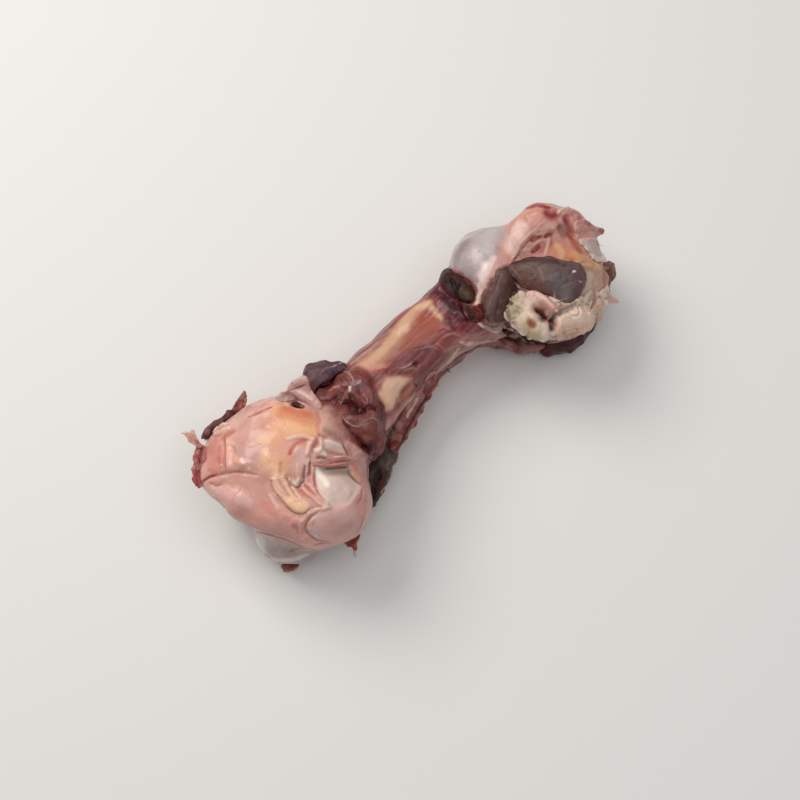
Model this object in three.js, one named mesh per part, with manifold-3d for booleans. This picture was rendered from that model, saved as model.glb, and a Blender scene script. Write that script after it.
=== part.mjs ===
// A raw emu thigh bone, trimmed but not clean: a short stout shaft between a broad knee end and a
// hip end with its round head, with scraps of meat, fat and sinew still on it.
// Millimetres, +Z up. The bone lies along X on the plane z = 0, knee end towards -X.
import * as THREE from "three";
import { mergeVertices } from "three/addons/utils/BufferGeometryUtils.js";
import Module from "manifold-3d";

const wasm = await Module();
wasm.setup();

// Driving dimensions.
const KNEE_X = -82; // middle of the knee end
const HIP_X = 88; // middle of the hip end
const SHAFT_RADIUS = 16.4; // at its waist
const SHAFT_HEIGHT = 28; // height of its centre line, at the waist
const HEAD_RADIUS = 19.5; // the ball of the hip joint
const GAP = 0.35; // clearance between two tissues that touch
const BONE_CELL = 5.0; // edge of a facet on the bone
const MEAT_CELL = 3.8; // edge of a facet on meat and fat
const TRIM_CELL = 2.6; // edge of a facet on small scraps
const CENTRE_SHIFT = new THREE.Vector3(-2.94, -2.9, 0); // puts the origin under the middle of the whole

// Finishes.
const GRISTLE = { color: "#d8a99a", roughness: 0.4 };
const MEAT = { color: "#5d2b31", roughness: 0.5 };
const DARK_MEAT = { color: "#463230", roughness: 0.5 };
const FAT = { color: "#d9c6a8", roughness: 0.45 };
const SINEW = { color: "#c99a8c", roughness: 0.4 };

// Places are given from the middle of the knee end or of the hip end: x, y, z, and then the
// radius there, or the width and thickness there.
const knee = (x, y, z, ...sizes) => [KNEE_X + x, y, z, ...sizes];
const hip = (x, y, z, ...sizes) => [HIP_X + x, y, z, ...sizes];

// Shapes. Each one is a function of x, y, z that is negative inside and grows by about one for
// each millimetre outside, with the room that the shape takes as its `room`.
const shaped = (room, distance) => Object.assign(distance, { room });

// The box of the given half sizes about a place.
function roomAround([x, y, z], [halfX, halfY, halfZ]) {
  const middle = new THREE.Vector3(x, y, z);
  return new THREE.Box3(middle.clone(), middle.clone()).expandByVector(new THREE.Vector3(halfX, halfY, halfZ));
}

// An ellipsoid of the given half sizes.
function lump(at, size) {
  return shaped(roomAround(at, size), (x, y, z) => {
    const p = [x - at[0], y - at[1], z - at[2]];
    const scaled = Math.hypot(p[0] / size[0], p[1] / size[1], p[2] / size[2]);
    const steep = Math.hypot(p[0] / size[0] ** 2, p[1] / size[1] ** 2, p[2] / size[2] ** 2);
    return steep < 1e-9 ? -Math.min(...size) : (scaled * (scaled - 1)) / steep;
  });
}

// A round bar through points [x, y, z, radius], its radius running evenly from point to point.
function bar(...points) {
  const JOINT = 3; // fillet where two stretches of the bar meet
  const room = new THREE.Box3();
  for (const [x, y, z, radius] of points) room.union(roomAround([x, y, z], Array(3).fill(radius + 1)));
  return shaped(room, (x, y, z) => {
    let nearest = Infinity;
    for (let i = 1; i < points.length; i++) {
      const a = points[i - 1];
      const b = points[i];
      const run = [b[0] - a[0], b[1] - a[1], b[2] - a[2]];
      const from = [x - a[0], y - a[1], z - a[2]];
      const reach = run[0] * from[0] + run[1] * from[1] + run[2] * from[2];
      const t = Math.min(1, Math.max(0, reach / (run[0] ** 2 + run[1] ** 2 + run[2] ** 2)));
      const away = Math.hypot(from[0] - run[0] * t, from[1] - run[1] * t, from[2] - run[2] * t);
      nearest = softMin(nearest, away - (a[3] + (b[3] - a[3]) * t), JOINT);
    }
    return nearest;
  });
}

// The smaller of two values, rounded over a width of k where they are alike.
function softMin(a, b, k) {
  const h = Math.max(0, k - Math.abs(a - b)) / k;
  return Math.min(a, b) - (h * h * k) / 4;
}

// Several shapes grown together, with fillets about k wide.
function blend(k, ...shapes) {
  const room = new THREE.Box3();
  for (const shape of shapes) room.union(shape.room);
  room.expandByScalar(k / 4);
  return shaped(room, (x, y, z) => shapes.reduce((sum, shape) => softMin(sum, shape(x, y, z), k), Infinity));
}

// A shape with others hollowed out of it, the edges of the hollows rounded over about k.
function carve(k, shape, ...tools) {
  const cut = (x, y, z) => tools.reduce((left, tool) => -softMin(-left, tool(x, y, z), k), shape(x, y, z));
  return shaped(shape.room, cut);
}

// A shape with an uneven surface: bumps of the given height, a wave apart.
function uneven(shape, { wave, height, seed }) {
  const k = (2 * Math.PI) / wave;
  const room = shape.room.clone().expandByScalar(2 * height);
  return shaped(room, (x, y, z) => {
    const swirl = 1.3 * Math.sin(0.61 * k * y + seed) + 1.1 * Math.sin(0.53 * k * z - 2 * seed);
    const bumps =
      Math.sin(k * x + swirl) * Math.cos(0.83 * k * y + 0.7 * swirl + seed) +
      0.6 * Math.sin(1.31 * k * z + 0.9 * swirl) * Math.cos(1.17 * k * x - seed);
    return shape(x, y, z) + height * bumps;
  });
}

// The surface of a shape as a mesh, by surface nets: one vertex in each cell that the surface
// passes through, and one quad across each grid edge that it crosses.
function skin(shape, cell) {
  const low = shape.room.min.clone().subScalar(cell).toArray();
  const room = shape.room.getSize(new THREE.Vector3()).toArray();
  const size = room.map((length) => Math.ceil(length / cell) + 3);
  const step = [1, size[0], size[0] * size[1]];
  const place = (a, i) => low[a] + i * cell;
  const value = new Float64Array(size[0] * size[1] * size[2]);
  const points = [];
  const vertexOf = new Map();
  const faces = [];
  const each = (visit) => {
    for (let k = 0; k < size[2]; k++)
      for (let j = 0; j < size[1]; j++)
        for (let i = 0; i < size[0]; i++) visit([i, j, k], i * step[0] + j * step[1] + k * step[2]);
  };
  each((c, n) => {
    value[n] = shape(place(0, c[0]), place(1, c[1]), place(2, c[2]));
  });
  joinCorners(value, size, step, each);
  each((c, n) => {
    if (c.some((v, a) => v > size[a] - 2)) return;
    const sum = new THREE.Vector3();
    let crossings = 0;
    for (let corner = 0; corner < 8; corner++)
      for (let a = 0; a < 3; a++) {
        if ((corner >> a) & 1) continue;
        const bits = [corner & 1, (corner >> 1) & 1, (corner >> 2) & 1];
        const from = n + bits[0] * step[0] + bits[1] * step[1] + bits[2] * step[2];
        const v0 = value[from];
        const v1 = value[from + step[a]];
        if (v0 < 0 === v1 < 0) continue;
        const at = [c[0] + bits[0], c[1] + bits[1], c[2] + bits[2]];
        at[a] += v0 / (v0 - v1);
        sum.add(new THREE.Vector3(place(0, at[0]), place(1, at[1]), place(2, at[2])));
        crossings++;
      }
    if (!crossings) return;
    vertexOf.set(n, points.length);
    points.push(settle(shape, sum.divideScalar(crossings), cell));
  });
  each((c, n) => {
    for (let a = 0; a < 3; a++) {
      const [u, v] = [(a + 1) % 3, (a + 2) % 3];
      if (c[a] > size[a] - 2 || c[u] < 1 || c[v] < 1 || c[u] > size[u] - 2 || c[v] > size[v] - 2) continue;
      const inside = value[n] < 0;
      if (inside === value[n + step[a]] < 0) continue;
      const around = [n - step[u] - step[v], n - step[v], n, n - step[u]].map((m) => vertexOf.get(m));
      if (!inside) around.reverse();
      const [p, q, r, s] = around;
      const short = points[p].distanceTo(points[r]) < points[q].distanceTo(points[s]);
      faces.push(...(short ? [p, q, r, p, r, s] : [p, q, s, q, r, s]));
    }
  });
  const geometry = new THREE.BufferGeometry();
  geometry.setAttribute("position", new THREE.Float32BufferAttribute(points.flatMap((p) => p.toArray()), 3));
  geometry.setIndex(faces);
  geometry.computeVertexNormals();
  return geometry;
}

// Where grid corners inside the shape meet only across the diagonal of a square or of a cell, the
// surface would touch itself. The nearest outside corner there is taken in, until none is left.
function joinCorners(value, size, step, each) {
  const TAKEN_IN = -1e-3;
  const inside = (n) => value[n] < 0;
  const fill = (corners) => {
    const out = corners.filter((n) => !inside(n)).sort((m, n) => value[m] - value[n]);
    value[out[0]] = TAKEN_IN;
  };
  const cornersOf = (n) =>
    [0, 1, 2, 3, 4, 5, 6, 7].map((b) => n + (b & 1) * step[0] + ((b >> 1) & 1) * step[1] + (b >> 2) * step[2]);
  // Whether two corners at opposite ends of a cell are the only ones inside, or the only ones outside.
  const lonePair = (cube) => {
    const count = cube.filter(inside).length;
    if (count !== 2 && count !== 6) return false;
    const alike = (b) => inside(cube[b]) === inside(cube[7 - b]);
    return [0, 1, 2, 3].some((b) => alike(b) && inside(cube[b]) === (count === 2));
  };
  let changes = 1;
  while (changes) {
    changes = 0;
    each((c, n) => {
      for (let a = 0; a < 3; a++) {
        const [u, v] = [(a + 1) % 3, (a + 2) % 3];
        if (c[u] > size[u] - 2 || c[v] > size[v] - 2) continue;
        const square = [n, n + step[u], n + step[v], n + step[u] + step[v]];
        const [p, q, r, s] = square.map(inside);
        if (p !== s || q !== r || p === q) continue;
        fill(square);
        changes++;
      }
      if (c.some((w, a) => w > size[a] - 2)) return;
      const cube = cornersOf(n);
      if (!lonePair(cube)) return;
      fill(cube);
      changes++;
    });
  }
}

// Moves a point onto a shape's surface, by no more than a part of a cell.
function settle(shape, point, cell) {
  const FARTHEST = 0.45; // of a cell
  const d = 0.05; // step over which the slope is measured
  const start = point.clone();
  for (let turn = 0; turn < 3; turn++) {
    const { x, y, z } = point;
    const here = shape(x, y, z);
    const slope = new THREE.Vector3(
      (shape(x + d, y, z) - here) / d,
      (shape(x, y + d, z) - here) / d,
      (shape(x, y, z + d) - here) / d,
    );
    point.addScaledVector(slope, -here / Math.max(0.2, slope.lengthSq()));
  }
  const moved = point.clone().sub(start);
  return start.add(moved.clampLength(0, FARTHEST * cell));
}

// A flat strip along a smooth curve through the points [x, y, z, width, thickness]. Its width
// lies along `across`, and it ripples by `wave`.
function strip({ points, across, wave }) {
  const STEPS = 14;
  const path = new THREE.CatmullRomCurve3(points.map(([x, y, z]) => new THREE.Vector3(x, y, z)));
  const geometry = mergeVertices(bare(new THREE.BoxGeometry(1, 1, 1, 2, 1, STEPS)), 1e-3);
  const position = geometry.attributes.position;
  for (let i = 0; i < position.count; i++) {
    const t = position.getZ(i) + 0.5;
    const at = path.getPoint(t);
    const run = path.getTangent(t);
    const side = new THREE.Vector3(...across).projectOnPlane(run).normalize();
    const up = run.clone().cross(side);
    const place = t * (points.length - 1);
    const k = Math.min(points.length - 2, Math.floor(place));
    const width = THREE.MathUtils.lerp(points[k][3], points[k + 1][3], place - k);
    const thickness = THREE.MathUtils.lerp(points[k][4], points[k + 1][4], place - k);
    const ripple = wave * Math.sin(9 * t + 5 * position.getX(i));
    at.addScaledVector(side, position.getX(i) * width);
    at.addScaledVector(up, position.getY(i) * thickness + ripple);
    position.setXYZ(i, at.x, at.y, at.z);
  }
  geometry.computeVertexNormals();
  return geometry;
}

// A geometry with nothing but its positions, so that corners that meet can be merged.
function bare(geometry) {
  return geometry.deleteAttribute("normal").deleteAttribute("uv");
}

// A closed mesh as a solid that can be cut, grown by so much along its normals.
function solidOf(geometry, growth = 0) {
  const position = geometry.attributes.position;
  const normal = geometry.attributes.normal;
  const vertProperties = new Float32Array(position.count * 3);
  for (let i = 0; i < position.count; i++)
    for (let a = 0; a < 3; a++)
      vertProperties[3 * i + a] = position.getComponent(i, a) + growth * normal.getComponent(i, a);
  const triVerts = new Uint32Array(geometry.index.array);
  return new wasm.Manifold(new wasm.Mesh({ numProp: 3, vertProperties, triVerts }));
}

// The largest body of a solid: what a cut leaves beside it is a loose scrap.
function largest(solid) {
  return solid.decompose().reduce((best, body) => (body.volume() > best.volume() ? body : best));
}

// All that is below z = 0, as a block to trim by, so that the bone lies on small flats.
function belowGround() {
  const DEEP = 60;
  const block = mergeVertices(bare(new THREE.BoxGeometry(400, 200, DEEP).translate(0, 0, -DEEP / 2)));
  block.computeVertexNormals();
  return solidOf(block);
}

// The bone itself, with the gristle and skin that are grown onto it.
function bone() {
  const neckHollow = bar(hip(-53, 29, 47, 5), hip(-46.5, 21, 50, 8), hip(-45, 16, 50.5, 7.5));
  const whole = carve(4, blend(9, shaft(), kneeEnd(), hipEnd()), neckHollow);
  return uneven(whole, { wave: 17, height: 0.45, seed: 0 });
}

function shaft() {
  return bar(
    knee(18, 2, 35, 24),
    knee(40, 8, 31, 19.5),
    knee(68, 13.5, SHAFT_HEIGHT + 0.5, SHAFT_RADIUS + 0.6),
    hip(-76, 16.5, SHAFT_HEIGHT, SHAFT_RADIUS),
    hip(-54, 15.5, SHAFT_HEIGHT + 2, SHAFT_RADIUS + 0.4),
    hip(-30, 9, SHAFT_HEIGHT + 3, SHAFT_RADIUS + 2.6),
  );
}

// Two rollers side by side, one over the other as the bone lies, with a groove between them.
function kneeEnd() {
  const dome = lump(knee(5, 11, 37), [32, 29, 24.5]);
  const far = lump(knee(-1, 17, 20.4), [27, 22, 21]);
  const rim = bar(
    knee(-23.5, 22, 40.5, 10),
    knee(-19.5, 5, 42.5, 12.5),
    knee(-12, -8, 42, 14),
    knee(-2, -18, 39, 16),
    knee(8.5, -21, 37, 16.5),
  );
  const farCorner = bar(knee(-14, 32.5, 36, 8.5), knee(-1, 33, 34, 8), knee(12, 32.5, 33, 8));
  const backRoller = lump(knee(8, -17, 37), [21.5, 22, 21]);
  const lowRoller = lump(knee(-9, -11, 17), [19.5, 20.5, 18]);
  const groove = bar(
    knee(-38, 22, 26, 6),
    knee(-34, -14, 28, 5.5),
    knee(-14, -38, 26, 5),
    knee(12, -46, 20, 6),
  );
  const dish = lump(knee(-3, -9, 66), [13, 10, 9]);
  return carve(5, blend(7, dome, far, rim, farCorner, backRoller, lowRoller), groove, dish);
}

// The ball of the joint on one side, and the crest that the thigh's muscles held to. A tongue of
// gristle runs down from the ball, and the crest curls round a shallow pit.
function hipEnd() {
  const body = lump(hip(-6, -2, 26), [28, 27, 26]);
  const foot = lump(hip(-4, 2, 9), [17, 17, 11]);
  const head = lump(hip(-25.5, 23, 34), [HEAD_RADIUS, HEAD_RADIUS, HEAD_RADIUS - 1]);
  const crest = bar(
    hip(-18, 17, 38, 8),
    hip(-6, 24, 39, 8.5),
    hip(8, 23.5, 40, 9),
    hip(17, 14, 38, 9),
    hip(18, 1, 35, 8.5),
    hip(12, -11, 31, 8),
  );
  const tongue = bar(hip(-24, 19, 40, 12), hip(-33, 14.5, 43.5, 7), hip(-41, 10, 43.5, 4));
  const pit = lump(hip(2, 9, 53), [10, 7, 6]);
  return carve(4, blend(6, body, foot, head, crest, tongue), pit);
}

// What is left on the bone. First the meat round its neck beside the knee end, with a deep hole.
function collarMeat() {
  const folds = blend(
    3,
    lump(knee(44, 3, 46), [14, 13, 9]),
    lump(knee(39, -8, 41), [12, 10, 11]),
    lump(knee(51, 15, 45), [10, 9, 7.5]),
    lump(knee(37, 15, 46), [8, 9, 7]),
  );
  const hole = lump(knee(41, 6, 56), [5, 3.5, 5.5]);
  return uneven(carve(2, folds, hole), { wave: 11, height: 0.7, seed: 2 });
}

function shoulderMeat() {
  const lobe = bar(knee(34, 25, 41, 7), knee(43, 29, 41, 9.5), knee(53, 27, 38, 6.5));
  return uneven(lobe, { wave: 12, height: 0.6, seed: 1 });
}

function sideMeat() {
  const lobe = bar(
    knee(55, -6, 21, 4),
    knee(48.5, -12, 18, 6.2),
    knee(37.5, -20, 14.5, 7),
    knee(29, -25.5, 14, 5),
  );
  return uneven(lobe, { wave: 10, height: 0.6, seed: 3 });
}

function farMeat() {
  const band = bar(
    knee(-17.5, 43, 36, 3),
    knee(-13.5, 44.5, 35, 4),
    knee(-6.5, 44.5, 34, 3.6),
    knee(-0.5, 45, 33, 3.6),
    knee(5.5, 45, 32, 3),
  );
  return uneven(band, { wave: 9, height: 0.7, seed: 4 });
}

// Under the ball of the joint, in the crook of the bone's neck.
function neckMeat() {
  const lobe = bar(hip(-44.5, 31, 36, 4.5), hip(-46, 25.5, 38.5, 7.2), hip(-46.5, 20, 39.5, 8));
  const bulge = lump(hip(-45, 16.5, 41), [7, 7, 6]);
  return uneven(blend(3, lobe, bulge), { wave: 11, height: 0.6, seed: 5 });
}

function strapMeat() {
  const strap = bar(
    hip(-22, 15, 47, 4.5),
    hip(-29.5, 9.5, 48, 6),
    hip(-37, 4.5, 45, 6.8),
    hip(-42.5, 2, 38, 5),
  );
  return uneven(strap, { wave: 9, height: 0.5, seed: 6 });
}

// The cut muscle in the middle of the hip end, shaped like a comma.
function capMeat() {
  const round = bar(hip(-20, 7.5, 49.5, 6.5), hip(-12, -1, 48, 9.2), hip(-4.5, -9, 46, 9));
  const tail = bar(hip(-4.5, -9, 46, 8), hip(-12, -15, 45, 6.5));
  return uneven(blend(5, round, tail), { wave: 14, height: 0.6, seed: 7 });
}

// Soft fat in crumbling lobes, from under the head round to the far side of the hip end.
function fatCluster() {
  const TURN = 2.4; // radians from one crumb to the next
  const CRUMBS = 3; // round each lobe
  const lobes = [
    hip(-34, -2, 44, 7),
    hip(-31, -9, 43, 9),
    hip(-23, -15, 43, 10),
    hip(-13, -20, 40, 10),
    hip(-3, -22, 35, 9),
    hip(6, -19, 32, 7.5),
    hip(13, -12, 30, 6),
  ];
  const crumbs = lobes.flatMap(([x, y, z, radius], i) =>
    Array.from({ length: CRUMBS }, (_, n) => {
      const turn = TURN * (CRUMBS * i + n);
      const at = [
        x + 0.7 * radius * Math.cos(turn),
        y - 2 + 0.6 * radius * Math.sin(turn),
        z + 2.2 * Math.cos(3 * turn),
      ];
      return lump(at, [0.5 * radius, 0.46 * radius, 0.6 * radius]);
    }),
  );
  return uneven(blend(2.5, bar(...lobes), ...crumbs), { wave: 7, height: 0.6, seed: 8 });
}

function lowerLobe() {
  const lobe = bar(
    hip(-52, 2, 22, 3),
    hip(-43, -4.5, 17.5, 3.5),
    hip(-33, -11.5, 12, 5.2),
    hip(-25, -16, 9, 4.5),
  );
  return uneven(lobe, { wave: 9, height: 0.4, seed: 9 });
}

function underMeat() {
  const lobe = bar(hip(-22, -20, 7, 5), hip(-12, -24, 8, 6), hip(0, -22, 8, 6), hip(7, -14, 9, 4.5));
  return uneven(lobe, { wave: 8, height: 0.7, seed: 10 });
}

// The sheath along the shaft's near side, torn into a fringe.
function shaftFringe() {
  const edge = bar(
    hip(-50, 0, 24, 3),
    hip(-64, 1.5, 21, 3.4),
    hip(-80, 1.5, 20, 3.6),
    knee(74, -1, 19, 3.8),
    knee(62, -5.5, 19, 4),
  );
  return uneven(edge, { wave: 6, height: 0.7, seed: 11 });
}

// A nub of red meat under the low roller.
function rollerScrap() {
  const nub = bar(knee(-24.5, -22.5, 6, 2.4), knee(-21.5, -26, 5.5, 3), knee(-18, -27.5, 6.5, 2.6));
  return uneven(nub, { wave: 7, height: 0.5, seed: 12 });
}

// A brown scrap beside the crest.
function hipScrap() {
  const scrap = bar(hip(20, -8, 26, 3.5), hip(22, -13, 22, 4), hip(19, -18, 20, 3));
  return uneven(scrap, { wave: 8, height: 0.5, seed: 13 });
}

// The rounded pieces: name, shape, facet, finish.
const grown = [
  ["bone", bone(), BONE_CELL, GRISTLE],
  ["collar_meat", collarMeat(), MEAT_CELL, MEAT],
  ["shoulder_meat", shoulderMeat(), MEAT_CELL, DARK_MEAT],
  ["side_meat", sideMeat(), MEAT_CELL, DARK_MEAT],
  ["far_meat", farMeat(), MEAT_CELL, MEAT],
  ["neck_meat", neckMeat(), MEAT_CELL, DARK_MEAT],
  ["strap_meat", strapMeat(), MEAT_CELL, DARK_MEAT],
  ["cap_meat", capMeat(), MEAT_CELL, DARK_MEAT],
  ["fat_cluster", fatCluster(), MEAT_CELL, FAT],
  ["lower_lobe", lowerLobe(), MEAT_CELL, SINEW],
  ["under_meat", underMeat(), MEAT_CELL, MEAT],
  ["shaft_fringe", shaftFringe(), MEAT_CELL, SINEW],
  ["roller_scrap", rollerScrap(), TRIM_CELL, MEAT],
  ["hip_scrap", hipScrap(), TRIM_CELL, DARK_MEAT],
];

// The thin pieces: torn flaps, a band of tendon, and tags that stand off the outline.
const strips = [
  {
    name: "tendon_flap",
    points: [
      knee(20, 27, 49.5, 7, 3),
      knee(28, 31, 53, 7.5, 3),
      knee(35, 26, 55, 8, 3),
      knee(33.5, 14, 54, 6, 2.6),
    ],
    across: [0.5, 0.1, 0.85],
    wave: 0.3,
    look: SINEW,
  },
  {
    name: "knee_band",
    points: [
      knee(10.5, -5.5, 60, 2.5, 2),
      knee(17, -10, 60.5, 4.5, 2.2),
      knee(23.5, -13.5, 58.5, 4.5, 2.2),
      knee(30.5, -16.5, 53.5, 2.5, 1.5),
    ],
    across: [0.5, 0.8, 0.2],
    wave: 0.3,
    look: SINEW,
  },
  {
    name: "corner_tag",
    points: [knee(-19.5, 42, 39, 7, 2.2), knee(-22.5, 46, 41, 5.5, 1.8), knee(-25.5, 50, 44, 1.2, 0.8)],
    across: [0.85, 0.45, 0.3],
    wave: 0.3,
    look: SINEW,
  },
  {
    name: "top_tag",
    points: [knee(5, 43.5, 38, 8, 1.8), knee(9, 46.5, 39, 4.5, 1.5), knee(12.5, 49.5, 39, 1.2, 0.8)],
    across: [0.97, -0.2, 0.15],
    wave: 0.3,
    look: MEAT,
  },
  {
    name: "roller_tag",
    points: [
      knee(9.5, -35.5, 25, 7.5, 3),
      knee(7.5, -39, 21.5, 6, 2.4),
      knee(6, -41.5, 17.5, 1.8, 1.6),
      knee(4.5, -44, 12, 1.2, 1),
    ],
    across: [0.7, -0.7, 0],
    wave: 0.3,
    look: MEAT,
  },
  {
    name: "hip_spike",
    points: [hip(4, -18, 34, 8, 4), hip(10, -25, 30, 5, 2.8), hip(16, -29, 25, 1.5, 1)],
    across: [0, 0.6, 0.8],
    wave: 0,
    look: SINEW,
  },
  {
    name: "hip_flap",
    points: [
      hip(16, 9, 48, 8, 2.8),
      hip(21.5, 5.5, 46, 9, 2.6),
      hip(26.5, 3, 40, 5.5, 2),
      hip(32, 2, 33, 2, 1.2),
    ],
    across: [0.75, 0.6, 0.3],
    wave: 0.3,
    look: SINEW,
  },
];

const femur = new THREE.Group();
femur.position.copy(CENTRE_SHIFT);
const ground = belowGround();
const taken = [];

// Adds one piece, cut clear of the ground and of every piece before it.
function add(name, geometry, look) {
  let solid = solidOf(geometry).subtract(ground);
  for (const other of taken) solid = solid.subtract(other);
  const finish = new THREE.MeshStandardMaterial({ ...look, metalness: 0 });
  const mesh = new THREE.Mesh(geometryOf(largest(solid)), finish);
  mesh.name = name;
  femur.add(mesh);
  taken.push(solidOf(geometry, GAP));
}

// A solid's surface as a geometry.
function geometryOf(solid) {
  const mesh = solid.getMesh();
  const geometry = new THREE.BufferGeometry();
  geometry.setAttribute("position", new THREE.Float32BufferAttribute(mesh.vertProperties, 3));
  geometry.setIndex(new THREE.BufferAttribute(mesh.triVerts, 1));
  geometry.computeVertexNormals();
  return geometry;
}

for (const [name, shape, cell, look] of grown) add(name, skin(shape, cell), look);
for (const piece of strips) add(piece.name, strip(piece), piece.look);

export default femur;
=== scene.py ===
# %% [markdown]
# This lesson dresses a raw emu thigh bone. The real thing is wet, lumpy and many-coloured: a bone
# with a knee end and a hip end, wrapped in pink joint skin, with white gristle where it slid in its
# joints, and with dark meat, crumbly fat and torn sinew that a butcher left on it. It could be
# sculpted by hand, or wrapped in a picture. Here every form and colour is worked out in code: the
# plain solids give the true shape, and strokes laid on them, as in painting, give the rest.

# %% Load the frame
import math

import bmesh
import bpy
import numpy as np
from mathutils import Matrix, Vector
from mathutils.bvhtree import BVHTree


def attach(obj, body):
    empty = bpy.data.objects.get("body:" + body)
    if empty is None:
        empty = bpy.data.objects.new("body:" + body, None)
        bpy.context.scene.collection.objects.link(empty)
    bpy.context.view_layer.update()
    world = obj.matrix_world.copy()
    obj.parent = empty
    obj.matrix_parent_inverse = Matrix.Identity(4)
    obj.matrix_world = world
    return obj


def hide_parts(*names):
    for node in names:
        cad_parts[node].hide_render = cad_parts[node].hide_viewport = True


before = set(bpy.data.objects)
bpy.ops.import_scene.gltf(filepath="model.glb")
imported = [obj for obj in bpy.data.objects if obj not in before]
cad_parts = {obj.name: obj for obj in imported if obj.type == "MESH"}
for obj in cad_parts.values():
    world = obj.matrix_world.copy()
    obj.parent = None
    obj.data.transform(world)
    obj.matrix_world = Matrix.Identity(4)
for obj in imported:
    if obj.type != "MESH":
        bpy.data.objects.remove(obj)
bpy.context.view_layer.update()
MM = 0.001  # the scene is in metres, and this lesson thinks in millimetres
print("solids loaded:", len(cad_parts))

# %% [markdown]
# Colours are written as sRGB hex values, as a painter would mix them. The ones named here come back
# in many places. Shaders want linear light, so one function turns the one into the other.

# %% Colours
SRGB_TOE = 0.04045  # below this share, sRGB is a straight line


def linear(hex_colour):
    """An sRGB hex value such as "#d8a596" as linear red, green and blue."""
    shares = [int(hex_colour[i : i + 2], 16) / 255 for i in (1, 3, 5)]
    return np.array([s / 12.92 if s <= SRGB_TOE else ((s + 0.055) / 1.055) ** 2.4 for s in shares])


SKIN = "#d49c8e"  # the joint skin, a pink film over gristle
SKIN_PALE = "#e4b5a7"
SKIN_ROSE = "#bf776b"
SKIN_GREY = "#b08882"
GRISTLE = "#c3b2af"  # the bluish white of the joints' sliding faces
GRISTLE_BLUE = "#968787"
FAT_CREAM = "#dcb095"
BONE_CREAM = "#cf9f7f"  # bare bone under a thin film
BLOOD = "#93363a"
MEAT_WINE = "#5c2a2e"
FILM = "#aa7e76"  # thin torn fascia

# %% [markdown]
# The camera comes first, because the photograph is also our map. It looks down steeply on the bone
# through a long lens. A feature seen at some pixel of the photograph is found on the model by
# sending a ray from the camera through that pixel, so each one sits on the flesh that carries it.

# %% Camera
PHOTO = 800  # the photograph's width and height in pixels
LENS = 85.0  # the lens and the sensor in millimetres of a camera
SENSOR = 36.0
AZIMUTH = math.radians(-39.7)
ELEVATION = math.radians(72)
DISTANCE = 944.4  # in millimetres of the scene, like all lengths below
TARGET = np.array([-10.5, 4.2, 0.0])
TO_CAMERA = np.array(
    [
        math.sin(AZIMUTH) * math.cos(ELEVATION),
        -math.cos(AZIMUTH) * math.cos(ELEVATION),
        math.sin(ELEVATION),
    ]
)
RIGHT = np.array([math.cos(AZIMUTH), math.sin(AZIMUTH), 0.0])
UP = np.cross(TO_CAMERA, RIGHT)
EYE = TARGET + DISTANCE * TO_CAMERA
FOCUS = LENS / SENSOR * PHOTO  # the lens's focal length in pixels
PER_MM = FOCUS / DISTANCE  # pixels to a millimetre at the target

camera = bpy.data.objects.new("camera", bpy.data.cameras.new("camera"))
camera.data.lens = LENS
camera.data.sensor_width = SENSOR
camera.data.clip_start = 0.01
camera.location = EYE * MM
camera.rotation_euler = Vector(TO_CAMERA).to_track_quat("Z", "Y").to_euler()
bpy.context.scene.collection.objects.link(camera)
bpy.context.scene.camera = camera


def sight(pixel):
    """The direction in which the camera sees a pixel of the photograph."""
    across = (pixel[0] - PHOTO / 2) / FOCUS
    down = (pixel[1] - PHOTO / 2) / FOCUS
    line = across * RIGHT - down * UP - TO_CAMERA
    return line / np.linalg.norm(line)


def pixels_of(points):
    """Where the photograph shows points given in millimetres."""
    from_eye = points - EYE
    depth = -from_eye @ TO_CAMERA
    across = from_eye @ RIGHT * FOCUS / depth
    down = -(from_eye @ UP) * FOCUS / depth
    return np.stack([PHOTO / 2 + across, PHOTO / 2 + down], axis=1)


print("the camera is at", np.round(EYE), "mm")

# %% [markdown]
# Nothing on raw meat is even. A value noise on a lattice gives smooth random numbers over space,
# the same ones on every run, so that edges wander, surfaces ripple and fibres run unevenly.

# %% Noise


def lattice(cells, seed):
    """A random number from 0 to 1 for each lattice cell."""
    # large odd factors and shifts scramble the bits, so that neighbours have nothing in common
    mixed = (cells[:, 0] * 73856093) ^ (cells[:, 1] * 19349663) ^ (cells[:, 2] * 83492791)
    mixed = (mixed ^ (seed * 2654435761)) & 0xFFFFFFFF
    mixed = ((mixed ^ (mixed >> 15)) * 0x2C1B3C6D) & 0xFFFFFFFF
    mixed = ((mixed ^ (mixed >> 12)) * 0x297A2D39) & 0xFFFFFFFF
    return ((mixed ^ (mixed >> 15)) & 0xFFFF) / 0xFFFF


def noise(points, size, seed=0):
    """Smooth random values from -1 to 1, in lumps about `size` millimetres across."""
    scaled = points / size
    cell = np.floor(scaled).astype(np.int64)
    part = scaled - cell
    part = part * part * (3 - 2 * part)
    total = np.zeros(len(points))
    for corner in np.ndindex(2, 2, 2):
        share = np.prod(np.where(corner, part, 1 - part), axis=1)
        total += share * lattice(cell + np.array(corner), seed)
    return 2 * total - 1


def rough(points, size, seed=0):
    """Noise with finer noise on it."""
    return sum(0.5**k * noise(points, size * 0.5**k, seed + k) for k in range(3)) / 1.5


def grained(points, grain, long, thin, seed=0):
    """Noise drawn out along `grain`, like fibres `thin` millimetres across and `long` in length."""
    run = np.array(grain, float) / np.linalg.norm(grain)
    along = (points @ run)[:, None] * run
    return rough(points - along + along * thin / long, thin, seed)


def fade(values, full, none):
    """1 where values are at `full`, 0 at `none`, and smooth between."""
    t = np.clip((none - values) / (none - full), 0, 1)
    return t * t * (3 - 2 * t)


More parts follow.
